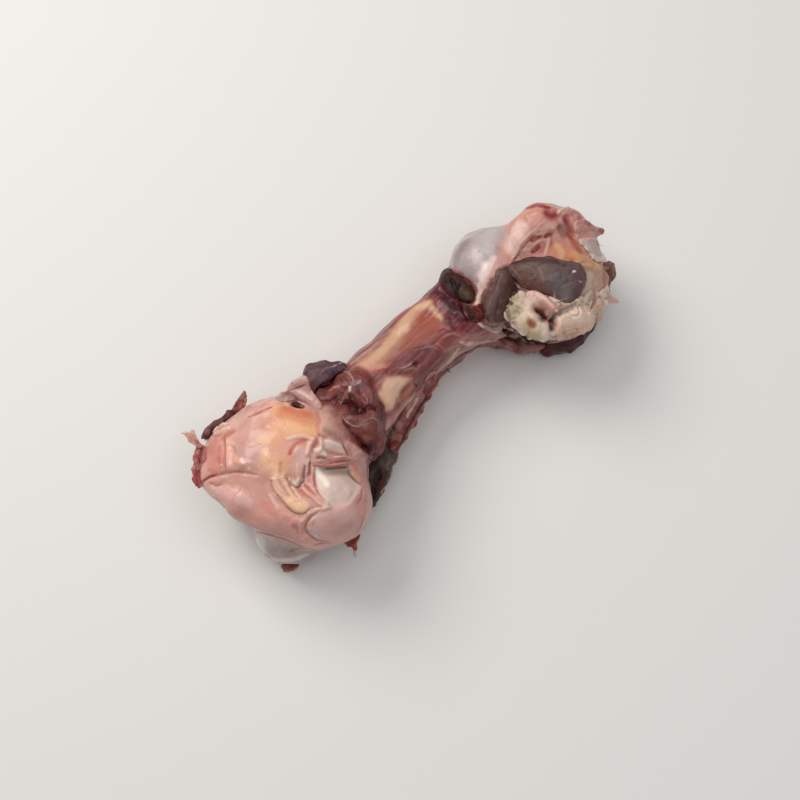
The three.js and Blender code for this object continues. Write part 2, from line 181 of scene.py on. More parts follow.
# %% [markdown]
# A solid from the frame is faceted and loose. To get flesh, a copy is merged, remeshed into small
# even squares, and rounded off. A subdivision surface would keep the facets' unevenness, so a voxel
# remesh is the better start for something that grew.

# %% Flesh from a solid


def new_piece(name, mesh):
    """An object of its own at the origin."""
    piece = bpy.data.objects.new(name, mesh)
    bpy.context.scene.collection.objects.link(piece)
    return piece


def result_of(piece):
    """The plain mesh that a piece and its modifiers come to."""
    bpy.context.view_layer.update()
    done = piece.evaluated_get(bpy.context.evaluated_depsgraph_get())
    return bpy.data.meshes.new_from_object(done)


def applied(piece):
    """A piece with its modifiers turned into mesh."""
    mesh = result_of(piece)
    piece.modifiers.clear()
    piece.data = mesh
    return piece


def merged_copy(node):
    """A CAD node's mesh with its loose triangles joined."""
    merged = bmesh.new()
    merged.from_mesh(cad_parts[node].data)
    bmesh.ops.remove_doubles(merged, verts=merged.verts, dist=1e-3 * MM)
    mesh = bpy.data.meshes.new(node)
    merged.to_mesh(mesh)
    merged.free()
    return mesh


def remeshed(piece, cell, rounding):
    """A piece in even squares `cell` millimetres wide, with its corners smoothed off."""
    squares = piece.modifiers.new("squares", "REMESH")
    squares.mode = "VOXEL"
    squares.voxel_size = cell * MM
    rounded = piece.modifiers.new("rounded", "SMOOTH")
    rounded.factor = 0.5
    rounded.iterations = rounding
    return applied(piece)


# %% [markdown]
# The skin of a piece is held as arrays, to be raised, sunk and coloured all at once. A stroke is
# drawn through pixels of the photograph and laid on the surface as a line in space, and a point is
# on it by its distance from that line. It thins out towards its ends, as folds do. A patch is an
# outline of pixels, and reaches only where the camera sees. Both wander a little, because no tissue
# has a ruled edge, and a stroke's colour comes and goes with a fine grain.

# %% Strokes and patches
WOBBLE = 3.0  # millimetres between the small wobbles of an edge
DRIFT = 9.0  # and between its large ones
GRAIN = 2.2  # the size of the spots in which a stroke's colour comes and goes
TAPER = 0.6  # the share of its width that a stroke has lost at its ends
SEARCH = np.linspace(DISTANCE - 80, DISTANCE + 20, 26)  # where a ray that misses looks for flesh
GLARE = 0.009  # the white that a wet film adds to every colour, taken off before it is stored


def path(pixels):
    """The places in a text such as "203,481 209,477", each across and down in the photograph."""
    return np.array([pixel.split(",") for pixel in pixels.split()], float)


def curve_through(knots, spacing):
    """Points at an even spacing along a smooth curve through the given ones."""
    if len(knots) == 1:
        return knots
    guides = np.vstack([2 * knots[0] - knots[1], knots, 2 * knots[-1] - knots[-2]])
    points = [knots[0]]
    for a, b, c, d in zip(guides, guides[1:], guides[2:], guides[3:]):
        steps = max(1, int(np.linalg.norm(c - b) / spacing))
        for t in np.arange(1, steps + 1) / steps:
            bend = 2 * a - 5 * b + 4 * c - d
            points.append(0.5 * (2 * b + (c - a) * t + bend * t**2 + (3 * b - a - 3 * c + d) * t**3))
    return np.array(points)


def outside(outline, places):
    """How far places in the photograph are outside an outline, in pixels, and below 0 inside it."""
    corners = curve_through(np.vstack([outline, outline[:1]]), 4)[:-1]
    inside = np.zeros(len(places), bool)
    away = np.full(len(places), np.inf)
    for a, b in zip(corners, np.roll(corners, -1, axis=0)):
        run = b - a
        t = np.clip(((places - a) @ run) / (run @ run), 0, 1)[:, None]
        away = np.minimum(away, np.linalg.norm(places - a - t * run, axis=1))
        rise = run[1] if run[1] else 1e-9
        crosses = (a[1] > places[:, 1]) != (b[1] > places[:, 1])
        inside ^= crosses & (places[:, 0] < a[0] + run[0] * (places[:, 1] - a[1]) / rise)
    return np.where(inside, -away, away)


class Surface:
    """A piece's skin as arrays in millimetres."""

    def __init__(self, piece, colour, swell=0.0):
        self.piece = piece
        count = len(piece.data.vertices)
        flat = np.empty(3 * count)
        piece.data.vertices.foreach_get("co", flat)
        self.points = flat.reshape(-1, 3) / MM
        self.colour = np.tile(linear(colour), (count, 1))
        self.dull = np.zeros(count)
        self.height = np.full(count, swell)
        self.wobble = np.stack([noise(self.points, WOBBLE, seed) for seed in (71, 72, 73)], axis=1)
        self.drift = np.stack([noise(self.points, DRIFT, seed) for seed in (81, 82, 83)], axis=1)
        self.grain = rough(self.points, GRAIN, seed=77)
        self.look_again()

    def look_again(self):
        """Takes up the normals, and what the camera sees, from where the points are now."""
        mesh = self.piece.data
        mesh.vertices.foreach_set("co", (self.points * MM).ravel())
        mesh.update()
        flat = np.empty(3 * len(self.points))
        mesh.vertex_normals.foreach_get("vector", flat)
        self.normals = flat.reshape(-1, 3)
        shape = bmesh.new()
        shape.from_mesh(mesh)
        self.tree = BVHTree.FromBMesh(shape)
        shape.free()
        self.seen = pixels_of(self.points)
        self.facing = self.normals @ TO_CAMERA

    def cast(self, pixel):
        """The place on the surface that the camera sees at a pixel, or the nearest to it."""
        line = sight(pixel)
        place = self.tree.ray_cast(Vector(EYE * MM), Vector(line))[0]
        if place is None:
            tries = [self.tree.find_nearest(Vector((EYE + d * line) * MM)) for d in SEARCH]
            place = min(tries, key=lambda found: found[3])[0]
        return np.array(place) / MM

    def stroke(self, pixels, width):
        """1 on a stroke `width` millimetres wide, fading outwards, the softer the wider it is."""
        line = np.array([self.cast(p) for p in curve_through(path(pixels), max(1.0, 0.3 * width))])
        length = np.linalg.norm(np.diff(line, axis=0), axis=1).sum()
        share = np.linspace(-1, 1, len(line)) if len(line) > 1 else np.zeros(1)
        reach = width / 2 * (1 - TAPER * min(1, length / (6 * width)) * np.abs(share) ** 3)
        soft = min(0.9, 0.6 + 0.04 * width)
        low, high = line.min(0) - width, line.max(0) + width
        near = np.flatnonzero(np.all((self.points > low) & (self.points < high), axis=1))
        # a narrow stroke only wobbles, and a wide one drifts as well
        wander = 0.1 * min(width, 5) * self.wobble[near] + 0.12 * max(0, width - 3) * self.drift[near]
        places = self.points[near] + wander
        away = np.full(len(near), np.inf)
        for point, extent in zip(line, reach):
            away = np.minimum(away, np.linalg.norm(places - point, axis=1) / extent)
        mask = np.zeros(len(self.points))
        mask[near] = fade(away, 1 - soft, 1)
        return mask

    def patch(self, outline, soft=1.5):
        """1 inside an outline of pixels on the side that the camera sees, with an edge `soft` wide."""
        places = self.seen + 0.25 * soft * PER_MM * self.wobble[:, :2]
        away = outside(path(outline), places) / PER_MM
        return fade(away, -soft / 2, soft / 2) * (1 - fade(self.facing, -0.05, 0.15))

    def tint(self, mask, colour, amount=1.0):
        """Mixes a colour in where the mask is."""
        share = (np.clip(mask, 0, 1) * amount)[:, None]
        self.colour += (linear(colour) - self.colour) * share

    def mottle(self, colour, size, amount, seed, cover=0.5, where=1.0):
        """Stains a `cover` of the surface with uneven spots `size` millimetres across."""
        edge = 1.2 * (0.5 - cover)
        spots = fade(rough(self.points, size, seed), edge + 0.25, edge - 0.25)
        self.tint(where * spots, colour, amount)

    def strokes(self, rows):
        """Lays rows of name, colour or None, width in mm, strength, height in mm and pixels."""
        print(self.piece.name, "takes", len(rows), "strokes")
        for _, colour, width, strength, height, pixels in rows:
            mask = self.stroke(pixels, width)
            self.height += mask * height
            if colour:
                self.tint(mask * (1 + 0.25 * self.grain), colour, strength)

    def patches(self, rows):
        """Lays rows of name, colour, edge in mm, strength, height in mm and outline."""
        print(self.piece.name, "takes", len(rows), "patches")
        for _, colour, edge, strength, height, outline in rows:
            mask = self.patch(outline, edge)
            self.height += mask * height
            self.tint(mask, colour, strength)

    def creases(self, size, depth, seed, colour, amount=0.6, width=0.16, where=1.0):
        """Cuts wandering creases, about `size` millimetres apart."""
        mask = where * fade(np.abs(rough(self.points, size, seed)), 0, width)
        self.height -= depth * mask
        self.tint(mask, colour, amount)

    def shape(self):
        """Moves the points by the heights gathered so far, but not below the floor."""
        self.points = self.points + self.normals * self.height[:, None]
        self.points[:, 2] = np.maximum(self.points[:, 2], 0)
        self.height[:] = 0
        self.look_again()

    def store(self):
        """Writes the colours and the dullness where the materials read them."""
        mesh = self.piece.data
        rgba = np.ones((len(self.points), 4))
        rgba[:, :3] = np.clip(self.colour - GLARE, 0.002, 1)
        tissue = mesh.color_attributes.new("tissue", "FLOAT_COLOR", "POINT")
        tissue.data.foreach_set("color", rgba.ravel())
        dull = mesh.attributes.new("dull", "FLOAT", "POINT")
        dull.data.foreach_set("value", np.clip(self.dull, 0, 1))
        mesh.shade_smooth()

    def finish(self, dull=0.0):
        """Shapes and stores a piece's skin."""
        self.shape()
        self.dull[:] = dull
        self.store()
        print(self.piece.name, "has", len(self.points), "points")


# %% [markdown]
# The bone is one piece. Its solid already has the domed knee end with its rim, the low roller under
# it, the waisted shaft, and at the hip end the ball and the curled crest. The squares are as small as
# the finest strokes need, and on the side that the photograph doesn't show, where there are none, a
# decimation merges most of them again.

# %% The bone's mesh
BONE_CELL = 0.66
KEPT = 0.6  # the share of all triangles that is left
TURNED_AWAY = -0.3  # below this, a square's normal points away from the camera for good


def thinned_below(piece):
    """Merges squares that face away from the camera."""
    below = piece.vertex_groups.new(name="below")
    hidden = [v.index for v in piece.data.vertices if np.array(v.normal) @ TO_CAMERA < TURNED_AWAY]
    below.add(hidden, 1.0, "REPLACE")
    fewer = piece.modifiers.new("fewer", "DECIMATE")
    fewer.ratio = KEPT
    fewer.vertex_group = "below"
    fewer.vertex_group_factor = 1.0
    applied(piece)
    piece.vertex_groups.clear()
    return piece


bone_piece = remeshed(new_piece("thigh_bone", merged_copy("bone")), BONE_CELL, rounding=36)
bone = Surface(thinned_below(bone_piece), SKIN, swell=0.45)
print("the bone's mesh has", len(bone.points), "points")

# %% [markdown]
# The large soft forms come first: gentle lumps at both ends, and long ripples of torn sheath down
# the shaft.

# %% The bone's large forms
KNEE_NECK = (-62, -40)  # from the knee end to the shaft, along the bone
HIP_NECK = (50, 34)  # from the hip end to the shaft
SHEATH_GRAIN = (1, 0.1, 0)
at_knee = fade(bone.points[:, 0], *KNEE_NECK)
at_hip = fade(bone.points[:, 0], *HIP_NECK)
on_shaft = np.clip(1 - at_knee - at_hip, 0, 1)
bone.height += at_knee * 0.35 * rough(bone.points, 11, seed=3)
bone.height += at_hip * 0.5 * rough(bone.points, 8, seed=5)
bone.height += on_shaft * 0.45 * grained(bone.points, SHEATH_GRAIN, long=22, thin=3.2, seed=7)
print("raised or sunk by up to", round(float(np.abs(bone.height).max()), 2), "mm")
bone.shape()

# %% [markdown]
# The knee end's skin is pink, with lilac and grey films. The ground tones go on first, and all that
# follows lies on top of them. Each mark says what it is, then its colour, width, strength, height and
# place, and one without a colour only moves the surface. Under the knee and behind it, where the
# photograph doesn't look, the joint's white sliding faces go on round. The masks for them come from
# the points' places, with a soft edge between two limits.

# %% The knee end's skin
LOW_ROLLER_MIDDLE = (-96, -14.5, 17)
LOW_ROLLER_REACH = (21, 22, 19)

along, up = bone.points[:, 0], bone.points[:, 2]  # in millimetres, like the limits below
from_roller = np.linalg.norm((bone.points - LOW_ROLLER_MIDDLE) / LOW_ROLLER_REACH, axis=1)
low_roller = fade(from_roller, 0.9, 1.15) * fade(up, 29, 36)
end_face = fade(along, -106, -90) * fade(up, 26, 40)
low_side = fade(up, 8, 26) * at_knee

bone.mottle(SKIN_PALE, 9, 0.3, seed=11)
bone.mottle(SKIN_ROSE, 6, 0.3, seed=12, cover=0.35)
bone.mottle(SKIN_GREY, 13, 0.3, seed=13, cover=0.4)
bone.tint(low_side, "#bfa29c", 0.7)
bone.mottle(SKIN_ROSE, 12, 0.4, seed=22, cover=0.5, where=low_side)
bone.tint(end_face, GRISTLE, 0.85)
bone.tint(low_roller, "#b3a29e", 0.9)
bone.mottle(GRISTLE_BLUE, 10, 0.5, seed=21, cover=0.5, where=low_roller)
bone.strokes([
    ("lower left corner drawn in", None, 16, 1, -2.6, "214,505 226,516 238,525 248,532"),
    ("low roller's side drawn in", None, 12, 1, -0.9, "250,536 252,548 262,560"),
    ("pale upper skin", "#d9a699", 24, 0.75, 0.3, "232,428 250,432 262,448 252,462"),
    ("lilac film", "#c99c98", 14, 0.75, 0, "240,452 252,457 262,450 258,438"),
    ("grey rose shoulder", "#c8958b", 9, 0.7, 0, "236,414 246,421 240,430"),
    ("left strip", "#c58076", 11, 0.9, 0, "213,440 212,452 213,466"),
    ("left strip, warmer low down", "#d08c7c", 8, 0.8, 0, "211,460 214,472"),
    ("rim band", "#d8a095", 13, 0.85, 0.3, "208,489 226,495 246,504 268,514 290,523"),
    ("light on the rim band", "#e4b5ae", 9, 0.8, 0.2, "214,489 232,495 248,504"),
    ("warm band over the rim", "#cf998a", 8, 0.7, 0, "232,481 252,486 270,497"),
    ("rim band, low side", "#c69a93", 9, 0.8, 0, "224,509 245,524 268,532 296,538"),
    ("rose on the rim", "#d08a7c", 8, 0.7, 0, "264,502 270,507 276,512"),
    ("light strip by the lobule", "#ebbfb2", 4, 0.8, 0.3, "270,494 278,507 290,517 302,521"),
    ("rose under the lobule", "#d9958c", 5, 0.6, 0, "280,508 288,516 296,520"),
    ("edge over the low roller", "#c08a82", 4, 0.5, 0, "262,530 282,535 306,543"),
    ("skin right of the facet", "#c98f82", 7, 0.85, 0.4, "361,460 366,474 366,490 364,503"),
    ("skin's raised corner", "#d2b4a9", 15, 0.9, 2.4, "360,456 368,451 374,448"),
    # a painted highlight along the right edge
    ("painted highlight on the right edge", "#cdb3a8", 4, 0.95, 0.3, "373,450 374,458 372,467 368,478"),
    ("low right skin", "#bb8682", 8, 0.8, 0, "366,498 364,514 352,534"),
    # a painted highlight on the rim at the right
    ("painted highlight on the right rim", "#dfb0a5", 3, 0.85, 0.3, "370,506 366,519 358,532"),
    ("top shoulder", "#e0b0a3", 8, 0.7, 0.5, "266,401 274,405 276,416 268,424"),
    ("strip above the groove", "#d39a8e", 6, 0.7, 0.4, "243,409 252,404 262,400"),
    ("rose on the strip", "#c9827a", 3.4, 0.7, 0, "261,407 266,403 270,402"),
])

# %% [markdown]
# Yellow fat shines through the skin in the middle, amber where blood has got into it. It has no edge
# of its own, so wide soft strokes make it. Faint creases then cross skin and fat alike.

# %% Fat under the knee end's skin
bone.strokes([
    ("yellow fat", "#e9ae84", 29, 1.0, 0, "281,420 296,423 311,428"),
    ("bright fat", "#efbd90", 13, 0.8, 0.2, "284,425 297,427 306,430"),
    ("fat towards the left", "#e4b08d", 18, 0.85, 0, "264,440 273,436 286,436"),
    ("fat towards the lobule", "#e4a782", 15, 0.9, 0, "277,441 282,455 283,470"),
    ("rose in the fat", "#dba091", 8, 0.7, 0, "283,443 282,452"),
    ("yellow knob", "#f0bf98", 13, 0.9, 0.5, "267,459 271,466 276,471"),
    ("orange line by the knob", "#d58c6d", 3, 0.8, -0.3, "281,464 281,470 280,477"),
    ("rose edge of the fat", "#d08d80", 6, 0.6, 0, "262,428 268,422 276,418"),
    ("amber under the hole", "#c4664a", 9, 0.85, -0.3, "286,409 298,412 309,415"),
    ("orange blend", "#dc8d67", 13, 0.75, 0, "282,413 300,418 314,420"),
    ("cream right of the fat", "#dfb7a7", 10, 0.85, 0.4, "325,410 326,420 324,432"),
    ("crease beside it", "#cf8878", 3.4, 0.6, -0.3, "317,411 319.5,420 318,428 320,437"),
])
bone.creases(9, 0.16, 14, SKIN_ROSE, amount=0.28, width=0.05, where=at_knee * (1 - low_side))
bone.creases(5, 0.1, 15, "#e9c2b4", amount=0.2, width=0.04, where=at_knee * (1 - low_side))

# %% [markdown]
# A thin dark seam runs in from the left corner, where two sheets of skin meet, and below it a smooth
# band rolls over the rim. At the right the skin is torn, and strands, slots and small knobs lead to
# the place where it is cut away. A dark groove with a light fold beside it gives each its depth; the
# dark of the seam, the grooves, the slots and the creases is painted shade.

# %% Seam, folds and torn strands
SEAM = "203,481 209,477 215,475 223,473.5 233,472 242,472 251,474 257,475"
RIM_FOLD = "256,532 269,535 288,541 302,547 315,550"
# in this list the seam's brown, the grooves, the slots, the creases and the line where the rim folds over
# the low roller are darkened with painted shade
bone.strokes([
    ("swelling over the seam", None, 7, 0, 0.5, "210,468 232,465 256,467"),
    ("roll under the seam", "#d9a096", 4, 0.6, 0.6, "210,481 217,480 224,478"),
    # painted shade in the crease under the roll
    ("painted shade under the roll", "#a4786b", 1.8, 0.7, -0.6, "210,483 216,486 222,484"),
    ("seam", None, 2.4, 0, -0.9, SEAM),
    ("blood in the seam", "#8a3d3d", 2.2, 0.9, 0, "203,481 209,477 215,475"),
    # painted shade along the seam, where one sheet of skin lies over the other
    ("painted shade along the seam", "#84554d", 1.4, 0.8, 0, "215,475 223,473.5 233,472 242,472 251,474"),
    ("seam's far end", "#b98674", 1.6, 0.6, 0, "242,472 251,474 257,475"),
    ("blood at the corner", "#8e3038", 3.4, 0.85, 0, "201,484 204,481"),
    ("red zone over the welt", "#c2685c", 6, 0.85, -0.2, "224,437 228,434 234,432"),
    ("left welt", "#b4645a", 2.4, 0.85, -0.6, "224,436 225,447 224.6,460 226,471"),
    ("blush beside the welt", "#cb7469", 5, 0.7, 0, "220,446 220,458 222,466"),
    ("spot beside the welt", "#bb645a", 2.6, 0.7, -0.2, "218,457 220,462"),
    ("ridge beside the welt", "#e9b39e", 4.6, 0.85, 0.6, "228,442 229,452 230,466"),
    ("light on the ridge", "#eab49f", 3, 0.8, 0.4, "226,442 230,443 234,444"),
    ("warm dimple", "#bd8a72", 3.4, 0.6, -0.4, "234,448 235,455"),
    ("light fold", "#e5aa96", 4, 0.8, 0.5, "236,461 240,461 243,464"),
    ("bright spot", "#f6d6c8", 2.6, 0.95, 0.4, "242,459 245,463"),
    ("warm strip by the spots", "#e3a68f", 4, 0.7, 0.3, "232,452 236,458 244,467"),
    ("bright bead", "#f0c3a8", 1.8, 0.9, 0.4, "249,469"),
    ("olive beside the seam", "#b68872", 4, 0.5, 0, "240,468 247,466 256,466"),
    ("red left edge", "#8d363a", 5, 0.95, 0, "200,442 199,455 199,470 201,482"),
    ("cream curl", "#dfb9a9", 5.4, 0.95, 0.9, "216,433 222,430 229,428"),
    ("curl's white rim", "#efdcd1", 2.6, 0.95, 0.8, "213,432 217,428 222,425 229,424.4"),
    ("shade under the curl", "#a06a62", 2, 0.6, -0.5, "211,434 216,436 221,435"),
    ("groove", "#b06c64", 2.8, 0.9, -1.1, "249,416.5 257,413 264,409.7 272,407"),
    ("groove's lower lip", "#e3b6ab", 3.4, 0.7, 0.6, "254,419 262,415.5 270,412"),
    ("red stain", "#c25450", 4, 0.9, -0.5, "290,454 294,448 299,443.5 306,440.5"),
    ("orange beside the stain", "#d98a6c", 3, 0.6, 0, "296,448 301,444 307,441"),
    ("fold over the stain", "#e9baa6", 3, 0.85, 0.8, "288,440 296,437 305,436.5 315,440"),
    ("grey rose below the stain", "#d9ada2", 11, 0.85, 0.2, "301,452 303,458 297,468"),
    ("upright crease", "#b3746a", 2.4, 0.8, -0.9, "318,438 316,444 313,452"),
    ("upright fold", "#e0b0a3", 2.8, 0.8, 0.9, "314,439 310,446 307,455"),
    ("pale fold right of it", "#dcb3a6", 2.6, 0.8, 0.8, "321,438 321,446 319,452"),
    ("grey film", "#a57d74", 8, 0.8, 0, "326,431 332,435 338,439"),
    ("streak in the film", "#c4a298", 1.8, 0.7, 0.3, "327,426 333,429 339,434"),
    ("red root of the film", "#a8605a", 3, 0.6, -0.3, "320,434 326,438"),
    ("white sheet", "#d2b9ac", 8, 0.95, 0.6, "325,444 335,446 342,450"),
    ("light of the sheet", "#e3cfc4", 2.4, 0.85, 0.3, "325,441 333,443 340,447"),
    ("sheet's shade", "#a27f74", 2.4, 0.7, -0.4, "323,450 331,453 342,455"),
    # a line of painted shade where the sheet meets the flap
    ("painted shade line in the sheet", "#6d463e", 1.8, 0.9, -0.9, "343,443 345,449 348.5,454.5"),
    ("flap beside the line", "#d6ada3", 6, 0.95, 0.8, "348,444 354,449 361,455"),
    ("light of the flap", "#e6c3b8", 2.4, 0.85, 0.2, "347,442 353,447 359,452"),
    ("cream knob", "#e6d0c1", 4.6, 0.95, 0.9, "317,451 321,452 324,455"),
    # the hole under the flap is cut in, and its near-black is painted shade
    ("painted shade in the hole under the flap", "#4a1a12", 5, 1.0, -2.0, "294,403.5 298,404.5 301,405.6"),
    ("yellow crumbs by the hole", "#d9a574", 2.4, 0.9, 0.6, "285,403 289,404.5"),
    ("second knob", "#e6cfc0", 2.4, 0.9, 0.5, "319,449 321,450"),
    ("olive pit", "#84644c", 2.2, 0.9, -0.8, "318,458 322,457.5 326,459"),
    ("slot left of the band", "#8c5a4d", 2, 0.85, -0.9, "310,463 309,470 310,475"),
    ("long dark slot", "#96665a", 2, 0.85, -1.0, "305,466 304,473 303,480 300,484"),
    ("strand between the slots", "#d9ab9f", 2.4, 0.85, 0.7, "307,462 307,472 306,482 308,487"),
    ("pink strand", "#d69a8c", 2.6, 0.8, 0.6, "313,468 312,478 313,486"),
    ("red line by the facet", "#a8584e", 1.4, 0.85, -0.6, "315,468 314.5,478 316,488"),
    ("grey loop", "#d5cabc", 3.2, 0.95, 0.8, "291,480 293,483 297,484 300,480"),
    ("loop's root", "#d8b2a2", 3.4, 0.8, 0.5, "297,466 298,474 298,481"),
    # painted shade under the grey loop
    ("painted shade under the loop", "#94665a", 1.6, 0.85, -0.7, "288,479 291,485 296,487 301,485.5"),
    ("lit strand of the fan", "#ebc3b6", 2.8, 0.9, 0.8, "293,487 297,493 302,501"),
    ("first groove of the fan", "#bd7266", 1.8, 0.8, -0.8, "298,489 303,494 309,499"),
    ("second strand", "#e6b0a2", 2.6, 0.85, 0.8, "302,488 308,493 315,499 321,505"),
    ("second groove", "#b96c60", 1.8, 0.8, -0.8, "304,485 311,491 318,497"),
    ("third strand", "#e9b7a8", 2.6, 0.85, 0.9, "309,485 315,491 321,498 329,505"),
    ("third groove", "#b46a5f", 1.6, 0.8, -0.7, "316,488 319,494 326,503"),
    ("bright ends of the fan", "#efc4b4", 1.8, 0.9, 0.6, "320,503 325,506 330,508"),
    ("fold to the condyle", "#e0ada1", 3, 0.8, 0.8, "328,508 317,511 308,515 301,522"),
    ("rose spot", "#b5726d", 5, 0.7, -0.2, "294,526 298,528 300,532"),
    ("small low fold", "#d39c94", 2.4, 0.7, 0.5, "300,524 301,533 306,541"),
    ("fold over the low roller", "#a27f79", 2.6, 0.6, -0.8, RIM_FOLD),
    ("red streak low on the condyle", "#a85c58", 1.8, 0.8, -0.3, "314,546 322,543 332,543"),
    ("blood at the right edge", "#a5514c", 1.8, 0.8, -0.3, "364,517 361,526 355,535"),
    ("light far edge", "#d8a9a0", 2.4, 0.8, 0, "322,549 336,547 346,541 356,533"),
])

# %% [markdown]
# A fat lobule hangs at the lower right, beside a white facet where the skin is cut away, and below
# them the smooth condyle swells out. Each has an outline of its own, so it is a patch, and fine
# strokes then go round and over it.

# %% Lobule, facet and condyle
LOBULE_EDGE = "271,481 273,489 279,497 285,505 293,512 300,514 307,512 311,507"
LOBULE = "271,479 283,474 290,482 302,497 311,504 308,512 300,514 289,508 276,494"
FACET = (
    "316,468 325,469 338,468 349,468 355,474 360,482 358,491 352,500 343,507 334,507 326,502 319,493 "
    "316,482"
)
CONDYLE = "306,521 313,514 326,509 342,508 355,510 358,524 347,539 332,543 314,538"
CONDYLE_EDGE = "322,510 313,515 307,522 305,529 310,536 318,540 328,541"
bone.patches([
    ("lobule", "#e8bba2", 2.8, 0.85, 1.1, LOBULE),
    ("facet", "#e2c6ba", 2, 0.97, -0.9, FACET),
    ("condyle", "#d0a49c", 7, 0.85, 0.6, CONDYLE),
])
bone.strokes([
    ("lobule's yellow belly", "#e8bb92", 7, 0.7, 0.3, "291,503 298,508 305,506"),
    # painted shade where the lobule lies over the skin
    ("painted shade along the lobule's edge", "#9c6a56", 1.5, 0.8, -0.7, LOBULE_EDGE),
    ("lobule's first strand", "#e6bba2", 2.4, 0.8, 0.7, "275,479 279,487 286,495"),
    ("lobule's second strand", "#e9c0aa", 2.2, 0.8, 0.7, "283,476 286,485 291,494 297,502"),
    # the lobule's two grooves are darkened with painted shade
    ("lobule's groove", "#c08468", 1.4, 0.75, -0.5, "279,480 284,489 290,498"),
    ("lobule's inner groove", "#bd8066", 1.4, 0.7, -0.5, "288,481 292,490 299,499"),
    ("shade at the facet's top", "#a89280", 7, 0.85, -0.6, "322,470 334,471 348,471"),
    # painted shadow that the tendon band casts on the top of the facet
    ("painted shadow of the band on the facet", "#7a4b40", 1.6, 0.9, -0.7, "325,468.4 337,467.5 350,466.5"),
    ("facet's grey side", "#cdb2a8", 10, 0.75, 0, "348,478 354,488 350,499"),
    ("facet's lilac middle", "#dfbfb9", 9, 0.7, 0.2, "334,482 340,494"),
    ("facet's cream foot", "#dfc5b6", 7, 0.7, 0.2, "326,490 332,499"),
    ("facet's shine", "#f7e9da", 5.4, 0.97, 0.3, "317,471 321,477 327,484"),
    ("facet's second shine", "#ead5c5", 3, 0.8, 0.2, "318,480 321,488"),
    ("amber knob", "#d09074", 4.6, 0.95, 0.8, "353,468 355,473 360,478"),
    # painted shade under the amber knob
    ("painted shade under the knob", "#8a5a42", 1.8, 0.9, -0.8, "349,470 353,476 358,481 361,484"),
    ("rose right of the facet", "#b57068", 2, 0.7, -0.3, "362,490 361,498 357,504"),
    # the condyle's edge is a line of painted shade
    ("condyle's edge", "#b57d72", 1.8, 0.85, -0.7, CONDYLE_EDGE),
    ("light band inside the edge", "#cfa49b", 2.4, 0.7, 0.4, "314,518 310,524 312,531"),
    ("grey nodule", "#b8a09d", 5, 0.85, 0.5, "311,530 316,534"),
    ("nodule's light", "#d8c8c6", 1.6, 0.85, 0.2, "312,532 318,536"),
    ("condyle's lit side", "#dcb4ac", 12, 0.75, 0, "320,518 334,514 348,516"),
    ("condyle's shade", "#bd9088", 9, 0.6, 0, "338,532 350,524"),
])

# %% [markdown]
# The low roller peeps out from under the rim. It is bare gristle, white with grey clouds and an olive
# streak. Its upper left and its rim carry painted light, and its grey middle is painted shade.

# %% The low roller
bone.strokes([
    # painted light on the upper left, which faces the lamp
    ("painted light on the upper left", "#ddd0ca", 12, 0.95, 0, "259,538 261,549 268,557"),
    # a painted highlight along the rim
    ("painted highlight on the rim", "#e9ded8", 3, 0.9, 0.2, "258,538 259,549 264,557"),
    # these two grey strokes are painted shade across the middle of the roller
    ("grey middle", "#a8958f", 9, 0.8, 0, "280,545 290,550 302,552"),
    ("second grey", "#b3a29d", 7, 0.6, 0, "284,543 298,547 310,551"),
    ("white low side", "#ddccc5", 6, 0.85, 0.2, "272,559 290,560 306,555"),
    ("olive streak", "#8f6f3c", 3, 0.95, 0.2, "290,552 297,549 304,548.5"),
    ("shade under the rim", "#8a6a64", 2.4, 0.6, -0.2, "258,534 270,538 288,544 304,549"),
    ("nub at the left", "#c58a70", 3.2, 0.9, 0.8, "262,558 265,561 267,563"),
    ("white nub", "#c9a89a", 2.4, 0.9, 0.6, "277,565 281,566"),
])

# %% [markdown]
# The shaft is bare bone under torn muscle sheaths. A cream band of bone shows along its top, red
# brown muscle stubble covers the middle, and a pink fascia runs along both edges. All of it is
# drawn out lengthwise, so the mottling here follows the grain.

# %% The shaft's fibres
SHAFT_GRAIN = (1, 0.08, 0)
fibres = grained(bone.points, SHAFT_GRAIN, long=26, thin=3.0, seed=31)
stubble = grained(bone.points, SHAFT_GRAIN, long=9, thin=1.2, seed=32)
specks = grained(bone.points, SHAFT_GRAIN, long=4, thin=1.0, seed=34)
underside = on_shaft * fade(bone.points[:, 2], 10, 26)
bone.tint(on_shaft, "#8c4f49")
bone.tint(on_shaft * fade(fibres, 0.4, -0.1), MEAT_WINE, 0.55)
bone.tint(on_shaft * fade(fibres, -0.6, -0.1), "#b88078", 0.5)
bone.tint(on_shaft * fade(stubble, 0.5, -0.1), BLOOD, 0.3)
bone.tint(underside * fade(rough(bone.points, 16, seed=33), -0.3, 0.5), BONE_CREAM, 0.6)
print("the fibres run along", SHAFT_GRAIN)

